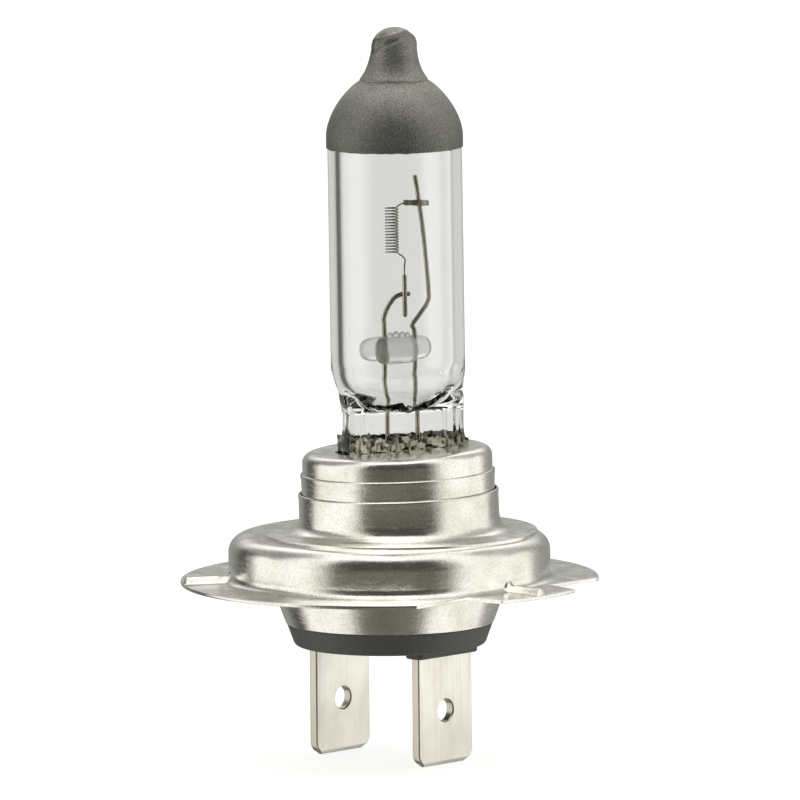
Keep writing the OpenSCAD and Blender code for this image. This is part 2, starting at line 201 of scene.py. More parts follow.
@dataclass(frozen=True)
class Place:
    """Where a sub-assembly stands in the CAD frame.

    The collar and the burner were shifted and leant when the filament was set on the drum's
    axis, so both keep a shift and a lean towards the same side.
    """

    shift: float = 0.0
    lean: float = 0.0
    turn: float = 0.0
    side: float = 43.0
    flange_level: float = -0.55

    def matrix(self) -> Matrix:
        """Give the transform from this place's millimetres to the CAD frame's metres.

        Returns:
            The transform.
        """
        side = math.radians(self.side)
        across = Vector((math.sin(side), -math.cos(side), 0.0))
        offset = Vector((
            self.shift * math.cos(side), self.shift * math.sin(side), self.flange_level
        ))
        return (
            Matrix.Scale(MM, 4)
            @ Matrix.Translation(offset)
            @ Matrix.Rotation(math.radians(self.lean), 4, across)
            @ Matrix.Rotation(math.radians(self.turn), 4, "Z")
        )


@dataclass
class Shape:
    """A mesh in the making, in its place's millimetres."""

    vertices: list[Vector] = field(default_factory=list)
    faces: list[tuple[int, ...]] = field(default_factory=list)

    def loft(
        self,
        rings: Sequence[Sequence[Vector]],
        wrap_rings: bool = False,
        caps: bool = True,
    ) -> "Shape":
        """Join rings of points, each closed on itself, into one skin.

        Args:
            rings: The rings in order, all with as many points.
            wrap_rings: Whether the last ring joins the first.
            caps: Whether the two ends are closed, when the rings don't wrap.

        Returns:
            This shape.
        """
        start = len(self.vertices)
        around = len(rings[0])
        for ring in rings:
            self.vertices.extend(ring)
        last = len(rings) if wrap_rings else len(rings) - 1
        for i in range(last):
            low = start + i * around
            high = start + ((i + 1) % len(rings)) * around
            for k in range(around):
                nxt = (k + 1) % around
                self.faces.append((low + k, low + nxt, high + nxt, high + k))
        if caps and not wrap_rings:
            self.faces.append(tuple(start + k for k in reversed(range(around))))
            end = start + (len(rings) - 1) * around
            self.faces.append(tuple(end + k for k in range(around)))
        return self

    def lathe(
        self,
        outline: Sequence[Point],
        segments: int = 192,
        ripple: Callable[[float, float, float], Vector] | None = None,
    ) -> "Shape":
        """Turn a closed outline about the vertical axis.

        Args:
            outline: Radius and height of each point, anticlockwise seen with radius to the right.
            segments: How many steps make the full turn.
            ripple: Gives a small move for the point at a radius, height and angle, if any.

        Returns:
            This shape.
        """
        rings = []
        for k in range(segments):
            angle = 2.0 * math.pi * k / segments
            ring = []
            for radius, height in outline:
                point = Vector((radius * math.cos(angle), radius * math.sin(angle), height))
                if ripple is not None:
                    point += ripple(radius, height, angle)
                ring.append(point)
            rings.append(ring)
        return self.loft(rings, wrap_rings=True)

    def tube(
        self, path: Sequence[Vector], radius: float, sides: int = 16, taper: float = 0.35
    ) -> "Shape":
        """Sweep a round wire along a path, with its ends rounded off.

        Args:
            path: The centre line's points.
            radius: The wire's radius.
            sides: How many sides the wire has.
            taper: The radius at the two end rings, as a share of the full one.

        Returns:
            This shape.
        """
        rings = []
        side = Vector((0.3, 1.0, 0.1))
        count = len(path)
        for i, centre in enumerate(path):
            heading = (path[min(i + 1, count - 1)] - path[max(i - 1, 0)]).normalized()
            side = (side - side.dot(heading) * heading).normalized()
            across = heading.cross(side)
            size = radius * (taper if i in (0, count - 1) else 1.0)
            rings.append([
                centre + size * (math.cos(a) * side + math.sin(a) * across)
                for a in (2.0 * math.pi * k / sides for k in range(sides))
            ])
        return self.loft(rings)

    def bar(self, outline: Sequence[Point], low: float, high: float, bevel: float = 0.0) -> "Shape":
        """Raise a flat outline along Z, with its rims bevelled.

        Args:
            outline: The outline's points, anticlockwise.
            low: Height of the underside.
            high: Height of the upper side.
            bevel: Size of the bevel along both rims.

        Returns:
            This shape.
        """
        count = len(outline)
        inset = []
        for i, (x, y) in enumerate(outline):
            back = Vector(outline[i - 1]) - Vector((x, y))
            ahead = Vector(outline[(i + 1) % count]) - Vector((x, y))
            inward = (
                Vector((back.y, -back.x)).normalized() + Vector((-ahead.y, ahead.x)).normalized()
            )
            inset.append((x + inward.x * bevel / 2.0, y + inward.y * bevel / 2.0))
        rings = [
            [Vector((x, y, low)) for x, y in inset],
            [Vector((x, y, low + bevel)) for x, y in outline],
            [Vector((x, y, high - bevel)) for x, y in outline],
            [Vector((x, y, high)) for x, y in inset],
        ]
        return self.loft(rings)

    def moved(self, matrix: Matrix) -> "Shape":
        """Move the whole shape.

        Args:
            matrix: The transform to apply.

        Returns:
            This shape.
        """
        self.vertices = [matrix @ v for v in self.vertices]
        return self

    def piece(
        self,
        name: str,
        place: Place,
        material: bpy.types.Material,
        slot: Slot,
        nodes: Iterable[str],
        sharp_deg: float = 35.0,
    ) -> bpy.types.Object:
        """Turn the shape into a piece of the bulb.

        Args:
            name: The piece's name.
            place: Where the shape stands.
            material: Its finish.
            slot: The record's material slot for that finish. It is not used.
            nodes: The CAD nodes that it stands for.
            sharp_deg: Edges bent by more than this stay sharp.

        Returns:
            The new object.
        """
        matrix = place.matrix()
        mesh = bpy.data.meshes.new(name)
        mesh.from_pydata([matrix @ v for v in self.vertices], [], self.faces)
        mesh.validate()
        mesh.shade_smooth()
        mesh.set_sharp_from_angle(angle=math.radians(sharp_deg))
        mesh.materials.append(material)
        made = bpy.data.objects.new(name, mesh)
        bpy.context.scene.collection.objects.link(made)
        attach(made, BODY)
        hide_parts(*nodes)
        LOG.info("built %s: %d faces", name, len(mesh.polygons))
        return made


# ---------------------------------------------------------------------------------------------
# Finishes
# ---------------------------------------------------------------------------------------------


class Graph:
    """A short way to write a shader's nodes."""

    def __init__(self, tree: bpy.types.NodeTree) -> None:
        """Start with an empty tree.

        Args:
            tree: The node tree to fill.
        """
        self.tree = tree
        self.tree.nodes.clear()

    def add(self, kind: str, inputs: dict | None = None, **settings) -> bpy.types.Node:
        """Add a node.

        Args:
            kind: The node's type, without its ShaderNode prefix.
            inputs: What goes into its sockets: a value, or another node's output socket.
            **settings: The node's own settings.

        Returns:
            The new node.
        """
        made = self.tree.nodes.new("ShaderNode" + kind)
        for key, value in settings.items():
            setattr(made, key, value)
        for key, value in (inputs or {}).items():
            if isinstance(value, bpy.types.NodeSocket):
                self.tree.links.new(value, made.inputs[key])
            else:
                made.inputs[key].default_value = value
        return made

    def maths(self, operation: str, *values: "float | bpy.types.NodeSocket") -> bpy.types.NodeSocket:
        """Add a sum on numbers.

        Args:
            operation: The Math node's operation.
            *values: Its numbers or output sockets, in order.

        Returns:
            The result's socket.
        """
        return self.add("Math", dict(enumerate(values)), operation=operation).outputs[0]

    def ramp(
        self, factor: bpy.types.NodeSocket, stops: Sequence[tuple[float, Colour]]
    ) -> bpy.types.NodeSocket:
        """Add a colour ramp.

        Args:
            factor: The socket that drives it.
            stops: Each stop's place and colour.

        Returns:
            The colour's socket.
        """
        made = self.add("ValToRGB", {"Fac": factor})
        elements = made.color_ramp.elements
        while len(elements) > 1:
            elements.remove(elements[-1])
        for i, (place, colour) in enumerate(stops):
            stop = elements[0] if i == 0 else elements.new(place)
            stop.position = place
            stop.color = (*colour, 1.0)
        return made.outputs["Color"]

    def grain(
        self, scale: float, stretch: Colour = (1.0, 1.0, 1.0), detail: float = 2.0
    ) -> bpy.types.NodeSocket:
        """Add noise in the object's own space.

        Args:
            scale: How many features there are in a metre.
            stretch: How the features are squeezed along X, Y and Z.
            detail: How many finer layers the noise has.

        Returns:
            The noise's socket.
        """
        where = self.add("TexCoord").outputs["Object"]
        held = self.add("Mapping", {"Vector": where, "Scale": stretch}).outputs["Vector"]
        made = self.add("TexNoise", {"Vector": held, "Scale": scale, "Detail": detail})
        return made.outputs["Fac"]

    def blend(
        self,
        factor: "float | bpy.types.NodeSocket",
        first: "bpy.types.NodeSocket | Colour",
        second: "bpy.types.NodeSocket | Colour",
        mode: str = "MIX",
    ) -> bpy.types.NodeSocket:
        """Blend two colours.

        Args:
            factor: How much of the second colour shows.
            first: The first colour.
            second: The second colour.
            mode: How they blend.

        Returns:
            The blended colour's socket.
        """
        made = self.add("Mix", data_type="RGBA", blend_type=mode)
        for index, value in ((0, factor), (6, first), (7, second)):
            if isinstance(value, bpy.types.NodeSocket):
                self.tree.links.new(value, made.inputs[index])
            elif index == 0:
                made.inputs[index].default_value = value
            else:
                made.inputs[index].default_value = (*value, 1.0)
        return made.outputs[2]

    def surface(self, shader: bpy.types.NodeSocket) -> None:
        """Send a shader to the material's output.

        Args:
            shader: The shader's socket.
        """
        self.add("OutputMaterial", {"Surface": shader})


def new_material(name: str) -> tuple[bpy.types.Material, Graph]:
    """Make an empty material.

    Args:
        name: Its name.

    Returns:
        The material and its graph.
    """
    made = bpy.data.materials.new(name)
    made.use_nodes = True
    return made, Graph(made.node_tree)


@dataclass(frozen=True)
class Stain:
    """A heat tint or mark on a sheet, as a soft ball in the CAD frame, in millimetres."""

    x: float
    y: float
    z: float
    reach: float
    colour: Colour
    strength: float = 0.8


@dataclass(frozen=True)
class SatinSteel:
    """Drawn sheet with a tumbled satin finish: fine sparkle, soft waves and faint wear."""

    name: str
    light: Colour = (0.81, 0.803, 0.765)
    dark: Colour = (0.62, 0.605, 0.55)
    roughness: float = 0.2
    sparkle: float = 0.35
    grain_scale: float = 7000.0
    stains: tuple[Stain, ...] = ()

    def material(self) -> bpy.types.Material:
        """Build the finish.

        Returns:
            The material.
        """
        made, graph = new_material(self.name)
        fine = graph.grain(self.grain_scale, detail=3.0)
        broad = graph.grain(320.0, detail=4.0)
        scuffs = graph.grain(900.0, stretch=(1.0, 1.0, 5.0), detail=5.0)
        colour = graph.ramp(
            broad, [(0.25, self.dark), (0.6, self.light), (1.0, self.light)]
        )
        colour = graph.blend(0.35, colour, graph.ramp(
            fine, [(0.3, (0.4, 0.39, 0.35)), (0.5, (0.9, 0.89, 0.85)), (0.68, (1.0, 1.0, 0.99))]
        ), "MULTIPLY")
        where = graph.add("TexCoord").outputs["Object"]
        for stain in self.stains:
            centre = (stain.x * MM, stain.y * MM, stain.z * MM)
            far = graph.add(
                "VectorMath", {0: where, 1: centre}, operation="DISTANCE"
            ).outputs["Value"]
            ragged = graph.maths("MULTIPLY_ADD", fine, 0.0004, far)
            near = graph.add("MapRange", {
                "Value": ragged, "From Min": stain.reach * MM * 1.15, "From Max": stain.reach * MM * 0.5,
                "To Min": 0.0, "To Max": stain.strength,
            }).outputs["Result"]
            colour = graph.blend(near, colour, stain.colour)
        rough = graph.add("MapRange", {
            "Value": scuffs, "From Min": 0.3, "From Max": 0.7,
            "To Min": self.roughness - 0.05, "To Max": self.roughness + 0.09,
        }).outputs["Result"]
        pits = graph.add("Bump", {
            "Height": fine, "Strength": self.sparkle, "Distance": 0.00002
        }).outputs["Normal"]
        waves = graph.add("Bump", {
            "Height": broad, "Strength": 0.25, "Distance": 0.00012, "Normal": pits
        }).outputs["Normal"]
        graph.surface(graph.add("BsdfPrincipled", {
            "Base Color": colour, "Metallic": 1.0, "Roughness": rough, "Normal": waves,
        }).outputs["BSDF"])
        return made


@dataclass(frozen=True)
class BladeMetal:
    """Tinned blade sheet with fine scratches along the blade and a few deeper marks."""

    name: str = "tinned_blade_metal"
    light: Colour = (0.76, 0.75, 0.70)
    dark: Colour = (0.64, 0.62, 0.55)
    worn: Colour = (0.5, 0.48, 0.42)
    edge: Colour = (0.40, 0.365, 0.29)
    wear_level: float = -0.0118

    def material(self) -> bpy.types.Material:
        """Build the finish.

        Returns:
            The material.
        """
        made, graph = new_material(self.name)
        scratches = graph.grain(5200.0, stretch=(1.0, 1.0, 0.03), detail=6.0)
        blotches = graph.grain(420.0, stretch=(1.0, 1.0, 0.5), detail=4.0)
        fine = graph.grain(9000.0, detail=2.0)
        colour = graph.ramp(blotches, [(0.3, self.dark), (0.55, self.light), (1.0, self.light)])
        colour = graph.blend(0.3, colour, graph.ramp(
            scratches, [(0.35, (0.5, 0.48, 0.44)), (0.55, (1.0, 1.0, 1.0))]
        ), "MULTIPLY")
        height = graph.add("SeparateXYZ", {"Vector": graph.add("TexCoord").outputs["Object"]}).outputs["Z"]
        ragged = graph.maths("MULTIPLY_ADD", blotches, 0.0016, height)
        wear = graph.add("MapRange", {
            "Value": ragged, "From Min": self.wear_level + 0.0036, "From Max": self.wear_level - 0.0014,
            "To Min": 0.0, "To Max": 0.5,
        }).outputs["Result"]
        colour = graph.blend(wear, colour, self.worn)
        normal = graph.add("NewGeometry").outputs["Normal"]
        facing = graph.add("SeparateXYZ", {"Vector": normal}).outputs["X"]
        rim = graph.add("MapRange", {
            "Value": graph.maths("ABSOLUTE", facing), "From Min": 0.9, "From Max": 0.4,
            "To Min": 0.0, "To Max": 0.65,
        }).outputs["Result"]
        colour = graph.blend(rim, colour, self.edge)
        rough = graph.add("MapRange", {
            "Value": scratches, "From Min": 0.3, "From Max": 0.7, "To Min": 0.24, "To Max": 0.42,
        }).outputs["Result"]
        lines = graph.add("Bump", {
            "Height": scratches, "Strength": 0.35, "Distance": 0.00003
        }).outputs["Normal"]
        pits = graph.add("Bump", {
            "Height": fine, "Strength": 0.15, "Distance": 0.00002, "Normal": lines
        }).outputs["Normal"]
        graph.surface(graph.add("BsdfPrincipled", {
            "Base Color": colour, "Metallic": 1.0, "Roughness": rough, "Normal": pits,
        }).outputs["BSDF"])
        return made


@dataclass(frozen=True)
class QuartzGlass:
    """Clear fused quartz, with a faint ripple where it was worked in the flame."""

    name: str = "clear_quartz"
    tint: Colour = (0.985, 0.99, 0.985)
    roughness: float = 0.0
    ripple: float = 0.015
    ripple_scale: float = 260.0
    milk: float = 0.0

    def material(self) -> bpy.types.Material:
        """Build the finish.

        Returns:
            The material.
        """
        made, graph = new_material(self.name)
        waves = graph.grain(self.ripple_scale, stretch=(1.0, 1.0, 0.35), detail=2.0)
        bent = graph.add("Bump", {
            "Height": waves, "Strength": self.ripple, "Distance": 0.0003
        }).outputs["Normal"]
        graph.surface(graph.add("BsdfPrincipled", {
            "Base Color": (*self.tint, 1.0), "Roughness": self.roughness, "IOR": 1.458,
            "Transmission Weight": 1.0 - self.milk, "Normal": bent,
        }).outputs["BSDF"])
        return made


@dataclass(frozen=True)
class GlareCoating:
    """Graphite coloured heat-proof paint with a fine mineral grain, with painted highlights and shade on it:
    bands by height over the dome and the crease, and a slanted streak at the tip's groove.
    """

    name: str = "graphite_glare_coating"
    light: Colour = (0.27, 0.268, 0.252)
    dark: Colour = (0.095, 0.094, 0.088)
    # Slant and level of the painted highlight streak at the tip's groove.
    painted_streak: Colour = (-0.197, -0.184, 1.0)
    painted_streak_level: float = 0.0434
    # Heights between which the painted highlight and shade bands run.
    painted_band_low: float = 0.0343
    painted_band_high: float = 0.0443

    def material(self) -> bpy.types.Material:
        """Build the finish.

        Returns:
            The material.
        """
        made, graph = new_material(self.name)
        grain = graph.grain(8200.0, detail=3.0)
        cloud = graph.grain(500.0, detail=3.0)
        colour = graph.ramp(grain, [(0.25, self.dark), (0.65, self.light), (0.8, (0.46, 0.46, 0.42))])
        colour = graph.blend(0.4, colour, graph.ramp(
            cloud, [(0.3, (0.7, 0.7, 0.68)), (0.7, (1.1, 1.1, 1.05))]
        ), "MULTIPLY")
        height = graph.add("SeparateXYZ", {"Vector": graph.add("TexCoord").outputs["Object"]}).outputs["Z"]
        # Painted highlight and shade by height: darker at the coating's lower edge, a painted highlight over
        # the dome just under the crease, a thin painted shade line at the crease, a second painted highlight
        # just above it, and a duller nub.
        climb = graph.add("MapRange", {
            "Value": height, "From Min": self.painted_band_low, "From Max": self.painted_band_high,
            "To Min": 0.0, "To Max": 1.0,
        }).outputs["Result"]
        colour = graph.blend(1.0, colour, graph.ramp(climb, [
            (0.0, (0.5, 0.5, 0.49)), (0.2, (0.72, 0.72, 0.7)), (0.38, (1.2, 1.2, 1.15)),
            (0.5, (1.5, 1.5, 1.43)), (0.55, (1.05, 1.05, 1.0)), (0.58, (1.45, 1.45, 1.38)),
            (0.7, (0.85, 0.85, 0.82)), (1.0, (0.95, 0.95, 0.92)),
        ]), "MULTIPLY")
        # Painted highlight streak along the tip's oblique groove: a thin painted shade line in the groove, a
        # bright painted highlight just above it, and the facet above it painted lighter.
        where = graph.add("TexCoord").outputs["Object"]
        slant = graph.add("VectorMath", {0: where, 1: self.painted_streak}, operation="DOT_PRODUCT").outputs["Value"]
        painted_streak = graph.ramp(graph.add("MapRange", {
            "Value": slant, "From Min": self.painted_streak_level - 0.0006, "From Max": self.painted_streak_level + 0.0006,
            "To Min": 0.0, "To Max": 1.0,
        }).outputs["Result"], [
            (0.0, (1.0, 1.0, 1.0)), (0.3, (0.95, 0.94, 0.9)), (0.46, (0.85, 0.83, 0.78)),
            (0.52, (2.1, 2.05, 1.95)), (0.62, (1.5, 1.48, 1.42)), (1.0, (1.15, 1.15, 1.13)),
        ])
        colour = graph.blend(1.0, colour, painted_streak, "MULTIPLY")
        bumps = graph.add("Bump", {
            "Height": grain, "Strength": 0.9, "Distance": 0.00005
        }).outputs["Normal"]
        lumps = graph.add("Bump", {
            "Height": cloud, "Strength": 0.3, "Distance": 0.0002, "Normal": bumps
        }).outputs["Normal"]
        graph.surface(graph.add("BsdfPrincipled", {
            "Base Color": colour, "Metallic": 0.5, "Roughness": 0.38, "Normal": lumps,
        }).outputs["BSDF"])
        return made


@dataclass(frozen=True)
class DrawnWire:
    """Drawn refractory metal, with die lines along it and a brown heat film in places."""

    name: str
    light: Colour
    dark: Colour
    film: Colour
    roughness: float = 0.28

    def material(self) -> bpy.types.Material:
        """Build the finish.

        Returns:
            The material.
        """
        made, graph = new_material(self.name)
        lines = graph.grain(9000.0, stretch=(1.0, 1.0, 0.08), detail=4.0)
        heat = graph.grain(700.0, detail=2.0)
        colour = graph.ramp(lines, [(0.3, self.dark), (0.65, self.light)])
        colour = graph.blend(
            graph.add("MapRange", {
                "Value": heat, "From Min": 0.45, "From Max": 0.75, "To Min": 0.0, "To Max": 0.7
            }).outputs["Result"],
            colour, self.film,
        )
        bumps = graph.add("Bump", {
            "Height": lines, "Strength": 0.3, "Distance": 0.00001
        }).outputs["Normal"]
        graph.surface(graph.add("BsdfPrincipled", {
            "Base Color": colour, "Metallic": 1.0, "Roughness": self.roughness, "Normal": bumps,
        }).outputs["BSDF"])
        return made


@dataclass(frozen=True)
class MouldedPlastic:
    """Matt dark grey glass-filled moulding."""

    name: str = "dark_moulded_plastic"
    light: Colour = (0.046, 0.046, 0.043)
    dark: Colour = (0.026, 0.026, 0.024)

    def material(self) -> bpy.types.Material:
        """Build the finish.

        Returns:
            The material.
        """
        made, graph = new_material(self.name)
        grain = graph.grain(3800.0, detail=4.0)
        flow = graph.grain(240.0, stretch=(1.0, 1.0, 3.0), detail=3.0)
        colour = graph.blend(
            flow, graph.ramp(grain, [(0.35, self.dark), (0.7, self.light)]), self.light
        )
        bumps = graph.add("Bump", {
            "Height": grain, "Strength": 0.35, "Distance": 0.00005
        }).outputs["Normal"]
        graph.surface(graph.add("BsdfPrincipled", {
            "Base Color": colour, "Roughness": 0.55, "Normal": bumps,
        }).outputs["BSDF"])
        return made


# ---------------------------------------------------------------------------------------------
# Sub-assemblies
# ---------------------------------------------------------------------------------------------


@dataclass
class PrefocusRing:
    """The drawn ring: locating drum, flange with three pressed ribs, and the keyed lug."""

    place: Place = Place()
    drum_radius: float = 13.0
    drum_height: float = 3.6
    shoulder: float = 1.4
    mouth_radius: float = 8.9
    flange_radius: float = 16.89
    foot: float = 0.62
    foot_rise: float = 0.85
    sheet: float = 0.3
    edge: float = 0.07
    rib_height: float = 0.53
    rib_half_width: float = 0.66
    rib_end: float = 16.85
    rib_angles: tuple[float, ...] = (0.0, 128.0, 232.0)
    notch_vertex: tuple[float, float] = (13.85, 20.5)
    notch_lug: tuple[float, float] = (17.5, 14.0)
    notch_flange: tuple[float, float] = (17.3, 41.0)
    droop: float = 0.03
    finish: SatinSteel = SatinSteel("satin_ring_steel")

    def _chord(self, angle: float, first: tuple[float, float], second: tuple[float, float]) -> float:
        """Find how far out a straight cut lies at an angle.

        Args:
            angle: The angle from the lug's middle, in degrees.
            first: Radius and angle of the cut's one end.
            second: Radius and angle of its other end.

        Returns:
            The radius there.
        """
        a = Vector((
            first[0] * math.cos(math.radians(first[1])), first[0] * math.sin(math.radians(first[1]))
        ))
        b = Vector((
            second[0] * math.cos(math.radians(second[1])), second[0] * math.sin(math.radians(second[1]))
        ))
        ray = Vector((math.cos(math.radians(angle)), math.sin(math.radians(angle))))
        along = b - a
        return (a.x * along.y - a.y * along.x) / (ray.x * along.y - ray.y * along.x)

    def _reach(self, angle: float) -> float:
        """Find the flange's outer radius at an angle, notches included.

        Args:
            angle: The angle in degrees, from -180 to 180.

        Returns:
            The radius.
        """
        off = abs(angle)
        vertex = self.notch_vertex[1]
        if self.notch_lug[1] <= off <= vertex:
            return min(self.flange_radius, self._chord(off, self.notch_vertex, self.notch_lug))
        if vertex < off <= self.notch_flange[1]:
            return min(self.flange_radius, self._chord(off, self.notch_vertex, self.notch_flange))
        return self.flange_radius

    def _rib(self, radius: float, angle: float) -> float:
        """Find how much of a rib's height stands at a point of the flange.

        Args:
            radius: The point's radius.
            angle: Its angle in degrees.

        Returns:
            A share from 0 to 1.
        """
        best = 0.0
        for centre in self.rib_angles:
            off = math.radians((angle - centre + 180.0) % 360.0 - 180.0)
            if abs(off) > 0.3:
                continue
            beside = abs(radius * math.sin(off))
            slope = min(1.0, max(0.0, (self.rib_half_width - beside) / (self.rib_half_width - 0.12)))
            across = mix(slope, smoothstep(0.0, 1.0, slope), 0.6)
            along = smoothstep(self.rib_end, self.rib_end - 0.25, radius)
            best = max(best, across * along)
        return best

    def _angles(self) -> list[float]:
        """List the angles of the mesh's sections, close together at the ribs and notches.

        Returns:
            The angles in degrees, from -180 up.
        """
        marks = {-180.0 + 2.0 * k for k in range(180)}
        for centre in self.rib_angles:
            middle = (centre + 180.0) % 360.0 - 180.0
            marks.update(middle + 0.3 * k for k in range(-14, 15))
        for sign in (-1.0, 1.0):
            marks.update(sign * a for a in spread(13.5, 15.5, 9))
            marks.update(sign * a for a in spread(15.5, 24.0, 18))
            marks.update(sign * a for a in spread(24.0, 41.0, 14))
            marks.add(sign * self.notch_vertex[1])
        kept: list[float] = []
        for mark in sorted(marks):
            if mark < 180.0 and (not kept or mark - kept[-1] > 0.08):
                kept.append(mark)
        return kept

    def _section(self, angle: float) -> list[Vector]:
        """Build the sheet's closed section at an angle.

        Args:
            angle: The angle in degrees.

        Returns:
            The section's points.
        """
        reach = self._reach(angle)
        inner = self.drum_radius - self.sheet
        start = self.drum_radius + self.foot
        points: list[tuple[float, float, float]] = []
        for radius in spread(inner + 0.15, reach - self.edge, 26):
            points.append((radius, -self.sheet, 1.0))
        for turn in spread(-80.0, 80.0, 7):
            round_off = math.radians(turn)
            height = -self.sheet / 2.0 + (self.sheet / 2.0) * math.sin(round_off)
            points.append((reach - self.edge * (1.0 - math.cos(round_off)), height, 1.0))
        for radius in spread(reach - self.edge, start, 26):
            points.append((radius, 0.0, mix(self.foot_rise, 1.0, smoothstep(start, start + 0.5, radius))))
        for turn in spread(262.0, 180.0, 7):
            at = math.radians(turn)
            points.append((
                start + self.foot * math.cos(at), self.foot + self.foot * math.sin(at), self.foot_rise
            ))
        top = self.drum_height - self.shoulder
        risen = self.foot + self.rib_height * self.foot_rise * self._rib(start, angle)
        for height in spread(risen + 0.08, top, 9):
            points.append((self.drum_radius, height, 0.0))
        for turn in spread(8.0, 90.0, 12):
            at = math.radians(turn)
            points.append((
                self.drum_radius - self.shoulder + self.shoulder * math.cos(at),
                top + self.shoulder * math.sin(at), 0.0,
            ))
        for radius in spread(self.drum_radius - self.shoulder - 0.3, self.mouth_radius, 8):
            points.append((radius, self.drum_height, 0.0))
        points.append((self.mouth_radius, self.drum_height - self.sheet, 0.0))
        inside = self.shoulder - self.sheet
        for turn in spread(90.0, 0.0, 5):
            at = math.radians(turn)
            points.append((
                self.drum_radius - self.shoulder + inside * math.cos(at),
                top + inside * math.sin(at), 0.0,
            ))
        points.append((inner, -self.sheet + 0.15, 0.0))
        at = math.radians(angle)
        section = []
        for radius, height, flange in points:
            rise = self._rib(max(radius, start), angle) * self.rib_height * flange
            sag = self.droop * smoothstep(start, self.flange_radius, radius) * flange
            section.append(Vector((radius * math.cos(at), radius * math.sin(at), height + rise - sag)))
        return section

    def build(self) -> bpy.types.Object:
        """Build and dress the ring.

        Returns:
            The ring.
        """
        shape = Shape().loft([self._section(a) for a in self._angles()], wrap_rings=True)
        return shape.piece(
            "ring_with_flange", self.place, self.finish.material(), Slot.RING, ["prefocus_ring"]
        )


